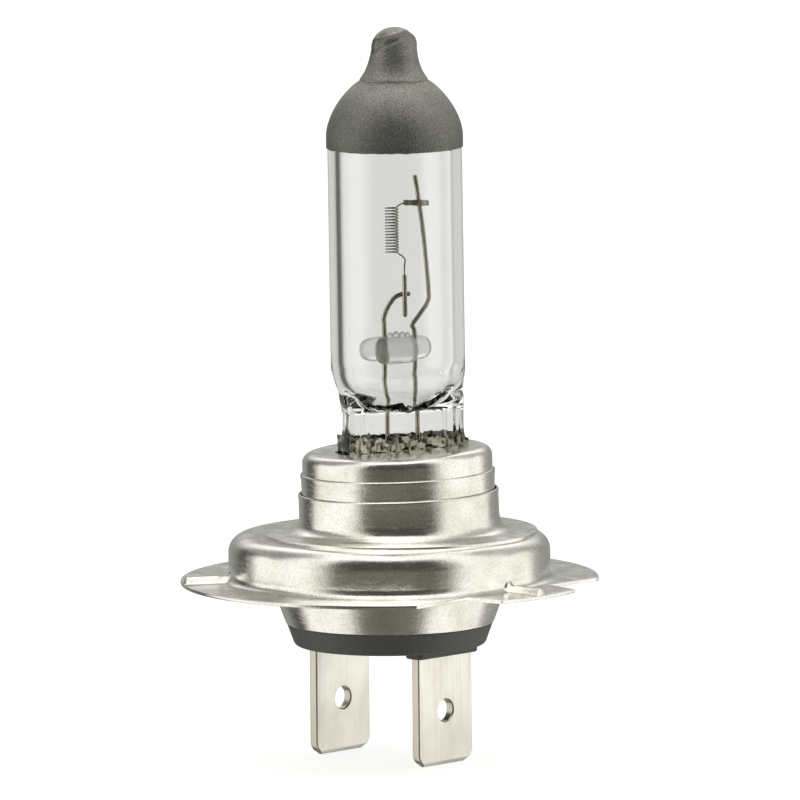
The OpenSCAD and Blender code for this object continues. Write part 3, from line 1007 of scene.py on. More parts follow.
@dataclass
class FocusCollar:
    """The nested drawn tubes above the ring: washer with sleeve, adjusting ring, and cup."""

    place: Place
    washer_place: Place
    sleeve_radius: float = 8.12
    sleeve_top: float = 7.1
    washer_radius: float = 11.1
    washer_low: float = 3.62
    washer_sheet: float = 0.32
    washer_fillet: float = 1.1
    sheet: float = 0.2
    gap: float = 0.02
    adjust_top: float = 8.7
    cup_top: float = 10.45
    cup_fillet: float = 0.8
    slot_length: float = 10.5
    slot_depth: float = 3.9
    slot_turn: float = 60.0
    slot_shift: float = 0.28
    cup_sheet: float = 0.3
    wobble: float = 0.03
    cup_tilt: float = 0.9
    steel: SatinSteel = SatinSteel("satin_collar_steel")
    ring_steel: SatinSteel = SatinSteel("tinted_collar_steel")

    def _dent(self, radius: float, height: float, angle: float) -> Vector:
        """Give the small unevenness of drawn sheet.

        Args:
            radius: The point's radius.
            height: Its height.
            angle: Its angle, in radians.

        Returns:
            The move of that point.
        """
        around = Vector((math.cos(angle), math.sin(angle), 0.0))
        wave = noise.noise(Vector((around.x * 1.6, around.y * 1.6, height * 0.25)))
        return Vector((0.0, 0.0, self.wobble * wave)) * min(1.0, radius / 5.0)

    def _tip_cup(self, radius: float, height: float, angle: float) -> Vector:
        """Tip the cup's crown a little further than the rings that hold it.

        Args:
            radius: The point's radius.
            height: Its height.
            angle: Its angle, in radians.

        Returns:
            The move of that point.
        """
        share = smoothstep(self.adjust_top - 1.0, self.cup_top, height)
        if radius < self.slot_length / 2.0:
            turned = angle - math.radians(self.slot_turn)
            c = abs(math.cos(turned)) / (self.slot_length / 2.0)
            s = abs(math.sin(turned)) / (self.slot_depth / 2.0)
            edge = (c**5 + s**5) ** -0.2
            spot = edge * Vector((math.cos(angle), math.sin(angle), 0.0))
            spot += self.slot_shift * Vector((
                math.cos(math.radians(self.slot_turn)), math.sin(math.radians(self.slot_turn)), 0.0
            ))
            move = spot - radius * Vector((math.cos(angle), math.sin(angle), 0.0))
        else:
            spot = radius * Vector((math.cos(angle), math.sin(angle), 0.0))
            move = Vector()
        side = math.radians(self.place.side)
        across = spot.x * math.cos(side) + spot.y * math.sin(side)
        lift = across * math.sin(math.radians(self.cup_tilt)) * share
        return self._dent(radius, height, angle) + move + Vector((0.0, 0.0, lift))

    def build(self) -> list[bpy.types.Object]:
        """Build and dress the collar's pieces.

        Returns:
            The washer, the adjusting ring and the cup.
        """
        low = self.washer_low
        top = low + self.washer_sheet
        bore = self.sleeve_radius - self.sheet
        washer = rounded([
            (bore, low, 0.05), (self.washer_radius, low, 0.03), (self.washer_radius, top - 0.03, 0.04),
            (self.sleeve_radius - 0.03, top, self.washer_fillet),
            (self.sleeve_radius - 0.05, self.sleeve_top - 0.55, 0.5),
            (self.sleeve_radius, self.sleeve_top, 0.15), (bore, self.sleeve_top, 0.06),
        ], steps=8)
        lean = math.radians(self.place.lean)

        def follow(radius: float, height: float, angle: float) -> Vector:
            """Lean the sleeve with the collar while the plate lies flat."""
            share = smoothstep(top, top + 1.1, height)
            side = math.radians(self.place.side)
            across = math.cos(angle - side)
            tip = Vector((math.cos(side), math.sin(side), 0.0)) * (-(height - low) * math.sin(lean))
            rise = Vector((0.0, 0.0, radius * across * math.sin(lean)))
            dish = Vector((0.0, 0.0, -0.06 * smoothstep(9.0, self.washer_radius, radius)))
            return (tip + rise) * share + dish * (1.0 - share)

        steel = self.steel.material()
        pieces = [Shape().lathe(washer, ripple=follow).piece(
            "washer_with_sleeve", self.washer_place, steel, Slot.COLLAR, ["focus_washer"]
        )]
        ring_r = bore - self.gap
        ring = rounded([
            (ring_r - self.sheet, 4.4, 0.05), (ring_r - 0.02, 4.4, 0.05),
            (ring_r - 0.1, self.sleeve_top + 0.2, 0.4), (ring_r - 0.08, self.adjust_top - 0.6, 0.5),
            (ring_r + 0.01, self.adjust_top, 0.16), (ring_r - self.sheet, self.adjust_top, 0.06),
        ], steps=6)
        pieces.append(Shape().lathe(ring, ripple=self._dent).piece(
            "collar_adjusting_ring", self.place, self.ring_steel.material(), Slot.COLLAR,
            ["adjusting_ring"],
        ))
        cup_r = ring_r - self.sheet - self.gap
        hole = self.slot_length / 2.0 - 0.5
        cup = rounded([
            (cup_r - self.cup_sheet, 5.0, 0.05), (cup_r, 5.0, 0.05),
            (cup_r, self.cup_top, self.cup_fillet), (hole, self.cup_top, 0.0),
            (hole, self.cup_top - self.cup_sheet, 0.0),
            (cup_r - self.cup_sheet, self.cup_top - self.cup_sheet, self.cup_fillet - self.cup_sheet),
        ], steps=10)
        pieces.append(Shape().lathe(cup, ripple=self._tip_cup).piece(
            "collar_top_cup", self.place, steel, Slot.COLLAR, ["collar_cup"]
        ))
        return pieces


@dataclass
class PinchClip:
    """The spring plate in the cup, with two crimped strips that hold the pinch seal."""

    place: Place
    level: float = 9.3
    radius: float = 7.0
    sheet: float = 0.28
    slot_width: float = 9.75
    slot_depth: float = 3.35
    strip_length: float = 9.9
    strip_rise: float = 2.1
    strip_sheet: float = 0.14
    strip_shift: float = 0.3
    crumple: float = 0.42
    # Painted shade: the clip's steel is a far darker copy of the satin steel. It stands in for the shaded
    # hollow of the cup round the pinch's foot.
    finish: SatinSteel = SatinSteel(
        "clip_steel_painted_shade", light=(0.3, 0.295, 0.25), dark=(0.13, 0.127, 0.102), roughness=0.27,
        sparkle=0.5, grain_scale=1500.0
    )

    def _plate(self) -> Shape:
        """Build the plate as a ring between the slot and the rim.

        Returns:
            The plate.
        """
        segments = 120
        rings: list[list[Vector]] = []
        half = Vector((self.slot_width / 2.0, self.slot_depth / 2.0))
        for k in range(segments):
            at = 2.0 * math.pi * k / segments
            c, s = math.cos(at), math.sin(at)
            inner = 1.0 / max(abs(c) / half.x, abs(s) / half.y)
            rings.append([
                Vector((inner * c, inner * s, self.level)),
                Vector((self.radius * c, self.radius * s, self.level)),
                Vector((self.radius * c, self.radius * s, self.level + self.sheet)),
                Vector((inner * c, inner * s, self.level + self.sheet)),
            ])
        return Shape().loft(rings, wrap_rings=True)

    def build(self) -> bpy.types.Object:
        """Build and dress the clip.

        Returns:
            The clip.
        """
        shape = self._plate()
        for sign in (-1.0, 1.0):
            rings = []
            for x in spread(-self.strip_length / 2.0, self.strip_length / 2.0, 120):
                ragged = 0.45 * noise.noise(Vector((0.9 * x, 4.0 * sign, 3.0)))
                ragged += 0.2 * noise.noise(Vector((3.1 * x, 4.0 * sign, 3.0)))
                front = []
                for share in spread(0.0, 1.0, 9):
                    level = self.level + 0.1 + (self.strip_rise + ragged) * share
                    fold = self.crumple * noise.noise(Vector((1.9 * x, 2.4 * level, 5.0 * sign)))
                    lean = 0.3 * (1.0 - share) ** 2 + 0.2 * share**2
                    near = self.slot_depth / 2.0 - 0.16 + lean + fold * smoothstep(0.0, 0.3, share)
                    front.append(Vector((x, sign * near, level)))
                back = [v + Vector((0.0, sign * self.strip_sheet, 0.0)) for v in reversed(front)]
                rings.append(front + back)
            strip = Shape().loft(rings)
            start = len(shape.vertices)
            shift = Vector((self.strip_shift, 0.0, 0.0))
            shape.vertices.extend(v + shift for v in strip.vertices)
            shape.faces.extend(tuple(start + i for i in f) for f in strip.faces)
        return shape.piece(
            "pinch_spring_clip", self.place, self.finish.material(), Slot.CLIP, ["pinch_clip"]
        )


@dataclass
class QuartzBurner:
    """The quartz envelope with its pinch seal, and the glare coating over its tip."""

    place: Place
    tube_radius: float = 5.42
    wall: float = 0.95
    tube_top: float = 35.9
    dome_rise: float = 5.5
    dome_power: float = 1.7
    neck_level: float = 40.35
    tip_level: float = 44.55
    tip_radius: float = 1.68
    pinch_low: float = 3.4
    pinch_top: float = 13.3
    pinch_width: float = 9.7
    pinch_depth: float = 2.6
    pinch_shift: float = 0.33
    shoulder_high: float = 17.4
    cavity_low: float = 13.75
    cavity_dome: float = 38.9
    coat: float = 0.08
    coat_low: float = 34.9
    nip_side: float = -17.0
    nip_shift: float = 0.12
    around: int = 144
    quartz: QuartzGlass = QuartzGlass()
    coating: GlareCoating = GlareCoating()

    def _crown(self, level: float) -> float:
        """Find the glass's radius over the dome and the sealed tip.

        Args:
            level: The height.

        Returns:
            The radius.
        """
        if level <= self.neck_level:
            rise = max(0.0, (level - self.tube_top) / self.dome_rise)
            return self.tube_radius * (1.0 - rise**self.dome_power) ** (1.0 / self.dome_power)
        nub = self.tip_radius + 1.1 * math.exp(-(level - self.neck_level) / 1.05)
        start = self.tip_level - 1.45
        if level > start:
            nub *= math.sqrt(max(0.0, 1.0 - ((level - start) / 1.45) ** 2))
        return nub

    def _outside(self, level: float) -> tuple[float, float, float]:
        """Describe the envelope's outer section at a height.

        Args:
            level: The height.

        Returns:
            Half width, half depth, and the power that squares the section off.
        """
        if level >= self.shoulder_high:
            radius = self._crown(level)
            return radius, radius, 2.0
        drop = (self.shoulder_high - level) / (self.shoulder_high - self.pinch_top)
        flare = 0.14 * smoothstep(12.0, 10.8, level)
        if drop >= 1.0:
            return self.pinch_width / 2.0 + flare, self.pinch_depth / 2.0 + flare, 7.0
        width = mix(self.tube_radius, self.pinch_width / 2.0, smoothstep(0.0, 1.0, drop))
        depth = mix(self.tube_radius, self.pinch_depth / 2.0, smoothstep(0.05, 1.0, drop) ** 1.15)
        return width, depth, mix(2.0, 7.0, smoothstep(0.5, 1.0, drop))

    def _ring(
        self, level: float, size: tuple[float, float, float], pinched: bool
    ) -> list[Vector]:
        """Lay out one section of the glass.

        Args:
            level: The section's height.
            size: Half width, half depth and squareness.
            pinched: Whether the pinch tool's marks show at this height.

        Returns:
            The section's points.
        """
        width, depth, power = size
        shift = self.pinch_shift * smoothstep(self.shoulder_high, self.pinch_top, level)
        ring = []
        for k in range(self.around):
            at = 2.0 * math.pi * k / self.around
            c, s = math.cos(at), math.sin(at)
            x = width * math.copysign(abs(c) ** (2.0 / power), c)
            y = depth * math.copysign(abs(s) ** (2.0 / power), s)
            if pinched:
                edge = smoothstep(0.68, 0.86, abs(x) / width)
                y *= 1.0 + 0.22 * edge
                y += 0.13 * noise.noise(Vector((x * 3.1, 3.0 * math.copysign(1.0, y), level * 0.16)))
                dimple = ((x + 0.85) / 0.22) ** 2 + ((level - 12.4) / 0.6) ** 2
                y -= math.copysign(0.12 * math.exp(-dimple), y)
                x += 0.04 * noise.noise(Vector((y, level * 0.9, 7.0)))
            ring.append(Vector((x + shift, y, level)))
        return ring

    def _levels(self) -> list[float]:
        """List the heights of the outer skin's sections.

        Returns:
            The heights, from the pinch's foot up.
        """
        levels = spread(self.pinch_low, self.pinch_top, 26)[:-1]
        levels += spread(self.pinch_top, self.shoulder_high, 22)[:-1]
        levels += spread(self.shoulder_high, self.tube_top, 12)[:-1]
        levels += spread(self.tube_top, self.neck_level, 20)[:-1]
        levels += spread(self.neck_level, self.tip_level - 1.45, 10)[:-1]
        tip = [self.tip_level - 1.45 + 1.45 * math.sin(math.radians(a)) for a in spread(0, 86, 10)]
        return levels + tip

    def _cavity(self) -> list[list[Vector]]:
        """Lay out the sections of the empty space inside.

        Returns:
            The sections, from the foot up.
        """
        inner = self.tube_radius - self.wall
        rings = []
        for a in spread(5.0, 90.0, 26):
            rise = math.sin(math.radians(a))
            level = mix(self.cavity_low, self.shoulder_high + 0.4, 1.0 - math.cos(math.radians(a)))
            fade = smoothstep(self.cavity_low + 1.1, self.cavity_low + 0.1, level)
            width = inner * rise ** 0.75
            depth = mix(0.35, inner, rise ** 2.2)
            ring = []
            for k in range(self.around):
                at = 2.0 * math.pi * k / self.around
                wave = noise.noise(Vector((4.2 * math.cos(at) * rise, 2.6 * math.sin(at), level * 1.1)))
                fine = noise.noise(Vector((9.0 * math.cos(at) * rise, 6.0 * math.sin(at), level * 3.0)))
                ring.append(Vector((
                    width * math.cos(at) * (1.0 + 0.06 * wave * fade) + 0.2 * fade,
                    depth * math.sin(at) * (1.0 + (0.16 * wave + 0.14 * fine) * fade),
                    level + (0.34 * wave + 0.2 * fine) * fade,
                )))
            rings.append(ring)
        for level in spread(self.shoulder_high + 1.6, self.tube_top, 8):
            rings.append(self._ring(level, (inner, inner, 2.0), False))
        for a in spread(8.0, 88.0, 9):
            radius = inner * math.cos(math.radians(a))
            level = mix(self.tube_top, self.cavity_dome, math.sin(math.radians(a)))
            rings.append(self._ring(level, (radius, radius, 2.0), False))
        return rings

    def envelope(self) -> bpy.types.Object:
        """Build and dress the quartz envelope.

        Returns:
            The envelope.
        """
        rings = [
            self._ring(level, self._outside(level), level < self.pinch_top + 0.6)
            for level in self._levels()
        ]
        shape = Shape().loft(rings)
        hollow = Shape().loft(self._cavity())
        start = len(shape.vertices)
        shape.vertices.extend(hollow.vertices)
        shape.faces.extend(tuple(start + i for i in reversed(f)) for f in hollow.faces)
        return shape.piece(
            "quartz_tube", self.place, self.quartz.material(), Slot.QUARTZ, ["quartz_envelope"],
            sharp_deg=50.0,
        )

    def _nip(self, point: Vector) -> Vector:
        """Shape the flame-sealed tip: a slight twist, a crease at its foot and an oblique nip.

        Args:
            point: A point of the coating's skin.

        Returns:
            The point's place on the worked tip.
        """
        x, y, z = point
        crease = math.exp(-(((z - self.neck_level) / 0.2) ** 2))
        near = smoothstep(self.neck_level, self.tip_level, z)
        along = x * math.cos(math.radians(self.nip_side)) + y * math.sin(math.radians(self.nip_side))
        slant = z - (self.tip_level - 1.0) - 0.42 * along
        groove = math.exp(-((slant / 0.2) ** 2)) * smoothstep(2.2, 0.2, abs(slant))
        at = math.atan2(y, x)
        swell = 1.0 - 0.02 * crease - 0.045 * groove - 0.05 * smoothstep(-0.1, 0.25, slant)
        swell += 0.03 * near * math.cos(2.0 * at + 1.7 * (z - self.neck_level))
        return Vector((x * swell + self.nip_shift * near, y * swell, z))

    def coat_piece(self) -> bpy.types.Object:
        """Build and dress the glare coating.

        Returns:
            The coating.
        """
        levels = [self.coat_low] + spread(self.coat_low + 0.05, self.tube_top, 6)
        levels += spread(self.tube_top, self.neck_level, 40)[1:]
        levels += spread(self.neck_level, self.tip_level - 1.45, 34)[1:]
        levels += [
            self.tip_level - 1.45 + 1.45 * math.sin(math.radians(a)) for a in spread(3, 88, 26)
        ]
        outer, inner = [], []
        for level in levels:
            radius = self._crown(max(level, self.tube_top)) + 0.02
            lip = smoothstep(self.coat_low, self.coat_low + 0.05, level)
            skin = self.coat * (0.6 + 0.4 * lip)
            grow = self.coat * smoothstep(self.neck_level, self.tip_level, level) * 0.5
            outer.append([
                self._nip(p) for p in self._ring(level + grow, (radius + skin, radius + skin, 2.0), False)
            ])
            inner.append([
                self._nip(p) for p in self._ring(level, (radius, radius, 2.0), False)
            ])
        edge = [
            Vector((0.0, 0.0, 0.05 * noise.noise(Vector((2.5 * p.x, 2.5 * p.y, 1.0))))) for p in outer[0]
        ]
        for ring in (outer[0], outer[1], inner[0], inner[1]):
            for k, move in enumerate(edge):
                ring[k] = ring[k] + move
        shape = Shape().loft(list(reversed(inner)) + outer, caps=True)
        return shape.piece(
            "tip_glare_coating", self.place, self.coating.material(), Slot.COATING, ["tip_coating"],
            sharp_deg=60.0,
        )

    def build(self) -> list[bpy.types.Object]:
        """Build the envelope and its coating.

        Returns:
            Both pieces.
        """
        return [self.envelope(), self.coat_piece()]


@dataclass
class FilamentMount:
    """The coil with its clamp and sleeve, the two support wires and the quartz bridge."""

    place: Place
    coil_x: float = -0.34
    coil_diameter: float = 1.13
    wire: float = 0.12
    turns: int = 16
    coil_top: float = 30.15
    coil_length: float = 3.8
    support_diameter: float = 0.38
    long_x: float = 1.45
    short_x: float = -1.1
    bridge_level: float = 18.55
    front_rod: tuple[float, float, float] = (-2.05, 1.4, 1.12)
    back_rod: tuple[float, float, float] = (-3.0, 3.1, 1.0)
    rod_depth: float = 0.75
    beads: tuple[tuple[float, float], ...] = ((-0.85, 0.22), (-0.35, 0.27), (0.15, 0.24), (0.6, 0.2))
    sleeve_x: float = 0.55
    sleeve_y: float = -0.38
    sleeve_low: float = 21.2
    sleeve_high: float = 24.6
    wire_foot: float = 10.0
    tungsten: DrawnWire = DrawnWire(
        "drawn_tungsten", (0.34, 0.33, 0.3), (0.17, 0.165, 0.15), (0.24, 0.2, 0.15), 0.25
    )
    molybdenum: DrawnWire = DrawnWire(
        "drawn_molybdenum", (0.46, 0.44, 0.38), (0.13, 0.125, 0.1), (0.3, 0.25, 0.15), 0.12
    )
    bridge_glass: QuartzGlass = QuartzGlass(
        "bridge_quartz", roughness=0.3, ripple=0.35, ripple_scale=900.0, milk=0.1
    )

    def filament(self) -> bpy.types.Object:
        """Build and dress the coil with its two legs.

        Returns:
            The filament.
        """
        steps = 28
        radius = (self.coil_diameter - self.wire) / 2.0
        coil = []
        for i in range(self.turns * steps + 1):
            at = 2.0 * math.pi * i / steps
            coil.append(Vector((
                self.coil_x + radius * math.cos(at), -radius * math.sin(at),
                self.coil_top - self.coil_length * i / (self.turns * steps),
            )))
        foot = self.coil_top - self.coil_length
        upper = smooth_path([
            (1.35, 0.02, self.coil_top + 0.25), (0.75, 0.02, self.coil_top + 0.22),
            (0.4, 0.03, self.coil_top + 0.12), tuple(coil[0]),
        ], 5)[:-1]
        lower = smooth_path([
            tuple(coil[-1]), (0.22, -0.14, foot - 0.09), (0.45, -0.3, foot - 0.26),
            (0.62, -0.37, foot - 0.55), (self.sleeve_x, self.sleeve_y, foot - 1.1),
            (self.sleeve_x, self.sleeve_y, self.sleeve_high - 0.5),
        ], 5)[1:]
        shape = Shape().tube(upper + coil + lower, self.wire / 2.0, sides=8)
        return shape.piece(
            "tungsten_coil", self.place, self.tungsten.material(), Slot.TUNGSTEN, ["filament"]
        )

    def supports(self) -> list[bpy.types.Object]:
        """Build and dress the two bent support wires.

        Returns:
            The long wire and the short wire.
        """
        metal = self.molybdenum.material()
        radius = self.support_diameter / 2.0
        long_points = [
            (self.long_x, 0, self.wire_foot), (self.long_x, 0, 14), (self.long_x, 0, 19.6),
            (1.25, 0, 20.4), (1.82, 0, 21.2), (2.62, 0, 22.3), (2.7, 0, 23.4), (2.37, 0, 27.5),
            (1.97, 0, 30.6), (1.67, 0, 32.6),
        ]
        short_points = [
            (self.short_x, 0, self.wire_foot), (self.short_x, 0, 14), (self.short_x, 0, 20.2),
            (-1.15, 0, 21), (-0.83, 0, 21.9), (-0.26, 0, 22.7), (0.4, 0, 23), (1.1, 0, 23),
        ]
        made = []
        for name, node, points in (
            ("long_support", "long_support_wire", long_points),
            ("short_support", "short_support_wire", short_points),
        ):
            shape = Shape().tube(smooth_path(points, 8), radius, sides=20, taper=0.92)
            made.append(shape.piece(name, self.place, metal, Slot.MOLYBDENUM, [node]))
        return made

    def clamp(self) -> bpy.types.Object:
        """Build and dress the folded strip that clamps the coil's upper leg.

        Returns:
            The clamp.
        """
        outline = rounded([
            (-0.31, -0.24, 0.08), (0.31, -0.24, 0.08), (0.31, 0.24, 0.08), (-0.31, 0.24, 0.08),
        ], steps=4)
        bite = 0.05
        rings = []
        for x, squeeze in (
            (0.74, 0.7), (0.8, 0.85), (1.1, 0.8), (1.3, 0.62), (1.55, 0.9), (1.75, 1.12),
            (2.2, 1.12), (2.4, 0.9), (2.72, 0.85), (2.8, 0.6),
        ):
            rings.append([
                Vector((x, y * squeeze, 30.36 - bite * (x - 1.7) + z * (0.6 + 0.4 * squeeze)))
                for y, z in outline
            ])
        return Shape().loft(rings).piece(
            "upper_clamp", self.place, self.molybdenum.material(), Slot.MOLYBDENUM, ["upper_leg_clamp"]
        )

    def sleeve(self) -> bpy.types.Object:
        """Build and dress the sleeve on the coil's lower leg.

        Returns:
            The sleeve.
        """
        path = [
            Vector((self.sleeve_x, self.sleeve_y, z))
            for z in spread(self.sleeve_low, self.sleeve_high, 14)
        ]
        return Shape().tube(path, 0.19, sides=20, taper=0.8).piece(
            "leg_sleeve", self.place, self.molybdenum.material(), Slot.MOLYBDENUM, ["lower_leg_sleeve"]
        )

    def _rod(self, low: float, high: float, radius: float, depth: float, seed: float) -> Shape:
        """Build one flame-softened quartz rod lying across the support wires.

        Args:
            low: Where it starts along X.
            high: Where it ends.
            radius: Its radius.
            depth: How far it lies behind the wires, or before them when negative.
            seed: Sets its ripples apart from the other rod's.

        Returns:
            The rod.
        """
        rings = []
        around = 64
        for share in spread(-1.0, 1.0, 56):
            size = radius * max(0.05, (1.0 - abs(share) ** 7.0) ** 0.5)
            x = mix(low, high, (share + 1.0) / 2.0)
            ring = []
            for k in range(around):
                at = 2.0 * math.pi * k / around
                wave = noise.noise(Vector((x * 1.3 + seed, 1.4 * math.cos(at), 1.4 * math.sin(at))))
                reach = size * (1.0 + 0.035 * wave)
                ring.append(Vector((
                    x, depth + reach * math.cos(at), self.bridge_level + reach * math.sin(at)
                )))
            rings.append(ring)
        return Shape().loft(rings)

    def _bead(self, x: float, size: float) -> Shape:
        """Build one of the small beads where the front rod was melted on.

        Args:
            x: Where it sits along the rod.
            size: Its radius.

        Returns:
            The bead.
        """
        rings = []
        top = self.bridge_level + self.front_rod[2]
        for climb in spread(-80.0, 80.0, 9):
            at = math.radians(climb)
            rings.append([
                Vector((
                    x + size * math.cos(at) * math.cos(turn),
                    -self.rod_depth + size * math.cos(at) * math.sin(turn),
                    top + size * (0.55 + 1.15 * math.sin(at)),
                ))
                for turn in (2.0 * math.pi * k / 16 for k in range(16))
            ])
        return Shape().loft(rings)

    def bridge(self) -> bpy.types.Object:
        """Build and dress the two quartz rods fused round the support wires.

        Returns:
            The bridge.
        """
        low, high, radius = self.front_rod
        parts = [self._rod(low, high, radius, -self.rod_depth, 0.0)]
        low, high, radius = self.back_rod
        parts.append(self._rod(low, high, radius, self.rod_depth, 5.0))
        parts += [self._bead(x, size) for x, size in self.beads]
        shape = Shape()
        for part in parts:
            start = len(shape.vertices)
            shape.vertices.extend(part.vertices)
            shape.faces.extend(tuple(start + i for i in f) for f in part.faces)
        return shape.piece(
            "quartz_rods", self.place, self.bridge_glass.material(), Slot.BRIDGE, ["quartz_bridge"],
            sharp_deg=60.0,
        )

    def build(self) -> list[bpy.types.Object]:
        """Build every piece inside the envelope.

        Returns:
            The pieces.
        """
        made = [self.filament(), self.clamp(), self.sleeve(), self.bridge()]
        return made + self.supports()


@dataclass
class BladeBase:
    """The base under the ring: drawn shell, moulded insulator and the two blade terminals."""

    place: Place = Place()
    shell_low_radius: float = 8.4
    shell_low: float = -3.6
    slope: float = 0.34
    shell_sheet: float = 0.4
    shell_rim: float = 12.45
    insulator_low: float = -5.4
    insulator_top: float = -0.9
    blade_x: float = 5.65
    blade_width: float = 6.3
    blade_sheet: float = 0.8
    blade_low: float = -14.7
    blade_high: float = 0.9
    hole_level: float = -10.3
    hole_radius: float = 0.9
    boss: tuple[float, float, float] = (1.8, 7.0, 0.45)
    steel: SatinSteel = SatinSteel("satin_shell_steel")
    metal: BladeMetal = BladeMetal()
    plastic: MouldedPlastic = MouldedPlastic()

    def _radius(self, level: float) -> float:
        """Find the cone's radius at a height.

        Args:
            level: The height.

        Returns:
            The radius.
        """
        return self.shell_low_radius + self.slope * (level - self.shell_low)

    def shell(self) -> bpy.types.Object:
        """Build and dress the drawn shell.

        Returns:
            The shell.
        """
        sheet = self.shell_sheet
        outline = rounded([
            (self._radius(self.shell_low) - sheet, self.shell_low, 0.08),
            (self._radius(self.shell_low), self.shell_low, 0.12),
            (self._radius(-0.5) + 0.1, -0.5, 0.9),
            (self.shell_rim, -0.5, 0.1),
            (self.shell_rim, -0.1, 0.1),
            (self._radius(-0.1) - sheet + 0.1, -0.1, 0.5),
        ], steps=8)
        return Shape().lathe(outline).piece(
            "drawn_base_shell", self.place, self.steel.material(), Slot.SHELL, ["base_shell"]
        )

    def insulator(self) -> bpy.types.Object:
        """Build and dress the moulded insulator with its two bosses.

        Returns:
            The insulator.
        """
        inside = self.shell_sheet + 0.02
        low = self.insulator_low
        outline = rounded([
            (0.05, low, 0.0), (self._radius(low) - 0.1, low, 0.45),
            (self.shell_low_radius - 0.06, self.shell_low - 0.02, 0.05),
            (self._radius(self.shell_low) - inside, self.shell_low - 0.02, 0.0),
            (self._radius(self.insulator_top) - inside, self.insulator_top, 0.1),
            (0.05, self.insulator_top, 0.0),
        ], steps=7)
        shape = Shape().lathe(outline)
        depth, width, drop = self.boss
        for sign in (-1.0, 1.0):
            x = sign * self.blade_x
            pad = Shape().bar(rounded([
                (x - depth / 2, -width / 2, 0.4), (x + depth / 2, -width / 2, 0.4),
                (x + depth / 2, width / 2, 0.4), (x - depth / 2, width / 2, 0.4),
            ], steps=5), low - drop, low + 0.6, bevel=0.12)
            start = len(shape.vertices)
            shape.vertices.extend(pad.vertices)
            shape.faces.extend(tuple(start + i for i in f) for f in pad.faces)
        return shape.piece(
            "moulded_insulator", self.place, self.plastic.material(), Slot.INSULATOR, ["insulator"]
        )

    def _blade_sections(self) -> list[list[Vector]]:
        """Lay out the blade's sections, with a coined tip and rounded edges.

        Returns:
            The sections, from the tip up.
        """
        half, sheet, low = self.blade_width / 2.0, self.blade_sheet / 2.0, self.blade_low
        sizes = [
            (low, half - 0.74, sheet - 0.28), (low + 0.34, half - 0.36, sheet - 0.015),
            (low + 0.38, half - 0.32, sheet), (low + 0.6, half - 0.14, sheet),
            (low + 0.8, half - 0.04, sheet), (low + 1.0, half, sheet), (-0.45, half, sheet),
            (-0.4, half - 0.05, sheet), (-0.39, 1.3, sheet), (self.blade_high, 1.3, sheet),
        ]
        return [
            [Vector((x, y, level)) for x, y in rounded([
                (-t, -w, 0.13), (t, -w, 0.13), (t, w, 0.13), (-t, w, 0.13),
            ], steps=4)]
            for level, w, t in sizes
        ]

    def blade(self, sign: float, name: str, node: str, metal: bpy.types.Material) -> bpy.types.Object:
        """Build and dress one blade terminal.

        Args:
            sign: The side of the axis that it stands on, -1 or 1.
            name: The piece's name.
            node: The CAD node that it stands for.
            metal: Its finish.

        Returns:
            The blade.
        """
        shape = Shape().loft(self._blade_sections())
        shape.moved(Matrix.Translation((sign * self.blade_x, 0.0, 0.0)))
        made = shape.piece(name, self.place, metal, Slot.TAB, [node])
        segments = 40
        drill_rings = []
        for x, radius in (
            (-0.6, self.hole_radius + 0.3), (-self.blade_sheet / 2, self.hole_radius + 0.08),
            (-self.blade_sheet / 2 + 0.1, self.hole_radius), (self.blade_sheet / 2 - 0.1, self.hole_radius),
            (self.blade_sheet / 2, self.hole_radius + 0.08), (0.6, self.hole_radius + 0.3),
        ):
            drill_rings.append([
                Vector((
                    sign * self.blade_x + x, radius * math.cos(at), self.hole_level + radius * math.sin(at)
                ))
                for at in (2.0 * math.pi * k / segments for k in range(segments))
            ])
        drill_shape = Shape().loft(drill_rings)
        matrix = self.place.matrix()
        mesh = bpy.data.meshes.new(name + "_drill")
        mesh.from_pydata([matrix @ v for v in drill_shape.vertices], [], drill_shape.faces)
        drill = bpy.data.objects.new(name + "_drill", mesh)
        bpy.context.scene.collection.objects.link(drill)
        cut = made.modifiers.new("hole", "BOOLEAN")
        cut.object = drill
        cut.operation = "DIFFERENCE"
        cut.solver = "EXACT"
        graph = bpy.context.evaluated_depsgraph_get()
        done = bpy.data.meshes.new_from_object(made.evaluated_get(graph))
        made.modifiers.clear()
        done.shade_smooth()
        done.set_sharp_from_angle(angle=math.radians(35.0))
        made.data = done
        bpy.data.objects.remove(drill)
        return made

    def build(self) -> list[bpy.types.Object]:
        """Build every piece under the ring.

        Returns:
            The pieces.
        """
        metal = self.metal.material()
        return [
            self.shell(),
            self.insulator(),
            self.blade(1.0, "blade_terminal_long", "terminal_long", metal),
            self.blade(-1.0, "blade_terminal_short", "terminal_short", metal),
        ]


@dataclass
class SealMetal:
    """The foils and outer leads, whose CAD shapes are right and only need their finish."""

    foils: tuple[str, ...] = ("seal_foil_long", "seal_foil_short")
    leads: tuple[str, ...] = ("outer_lead_long", "outer_lead_short")
    foil_finish: DrawnWire = DrawnWire(
        "etched_foil", (0.60, 0.58, 0.55), (0.44, 0.43, 0.41), (0.36, 0.33, 0.3), 0.4
    )
    lead_finish: DrawnWire = DrawnWire(
        "outer_lead_wire", (0.60, 0.57, 0.5), (0.38, 0.36, 0.31), (0.4, 0.32, 0.22), 0.3
    )

    def dress(self) -> None:
        """Give each CAD node its finish."""
        for names, finish in ((self.foils, self.foil_finish), (self.leads, self.lead_finish)):
            material = finish.material()
            for name in names:
                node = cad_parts[name]
                for slot in node.material_slots:
                    slot.material = material
                LOG.info("dressed %s", name)


# ---------------------------------------------------------------------------------------------
# Studio
# ---------------------------------------------------------------------------------------------


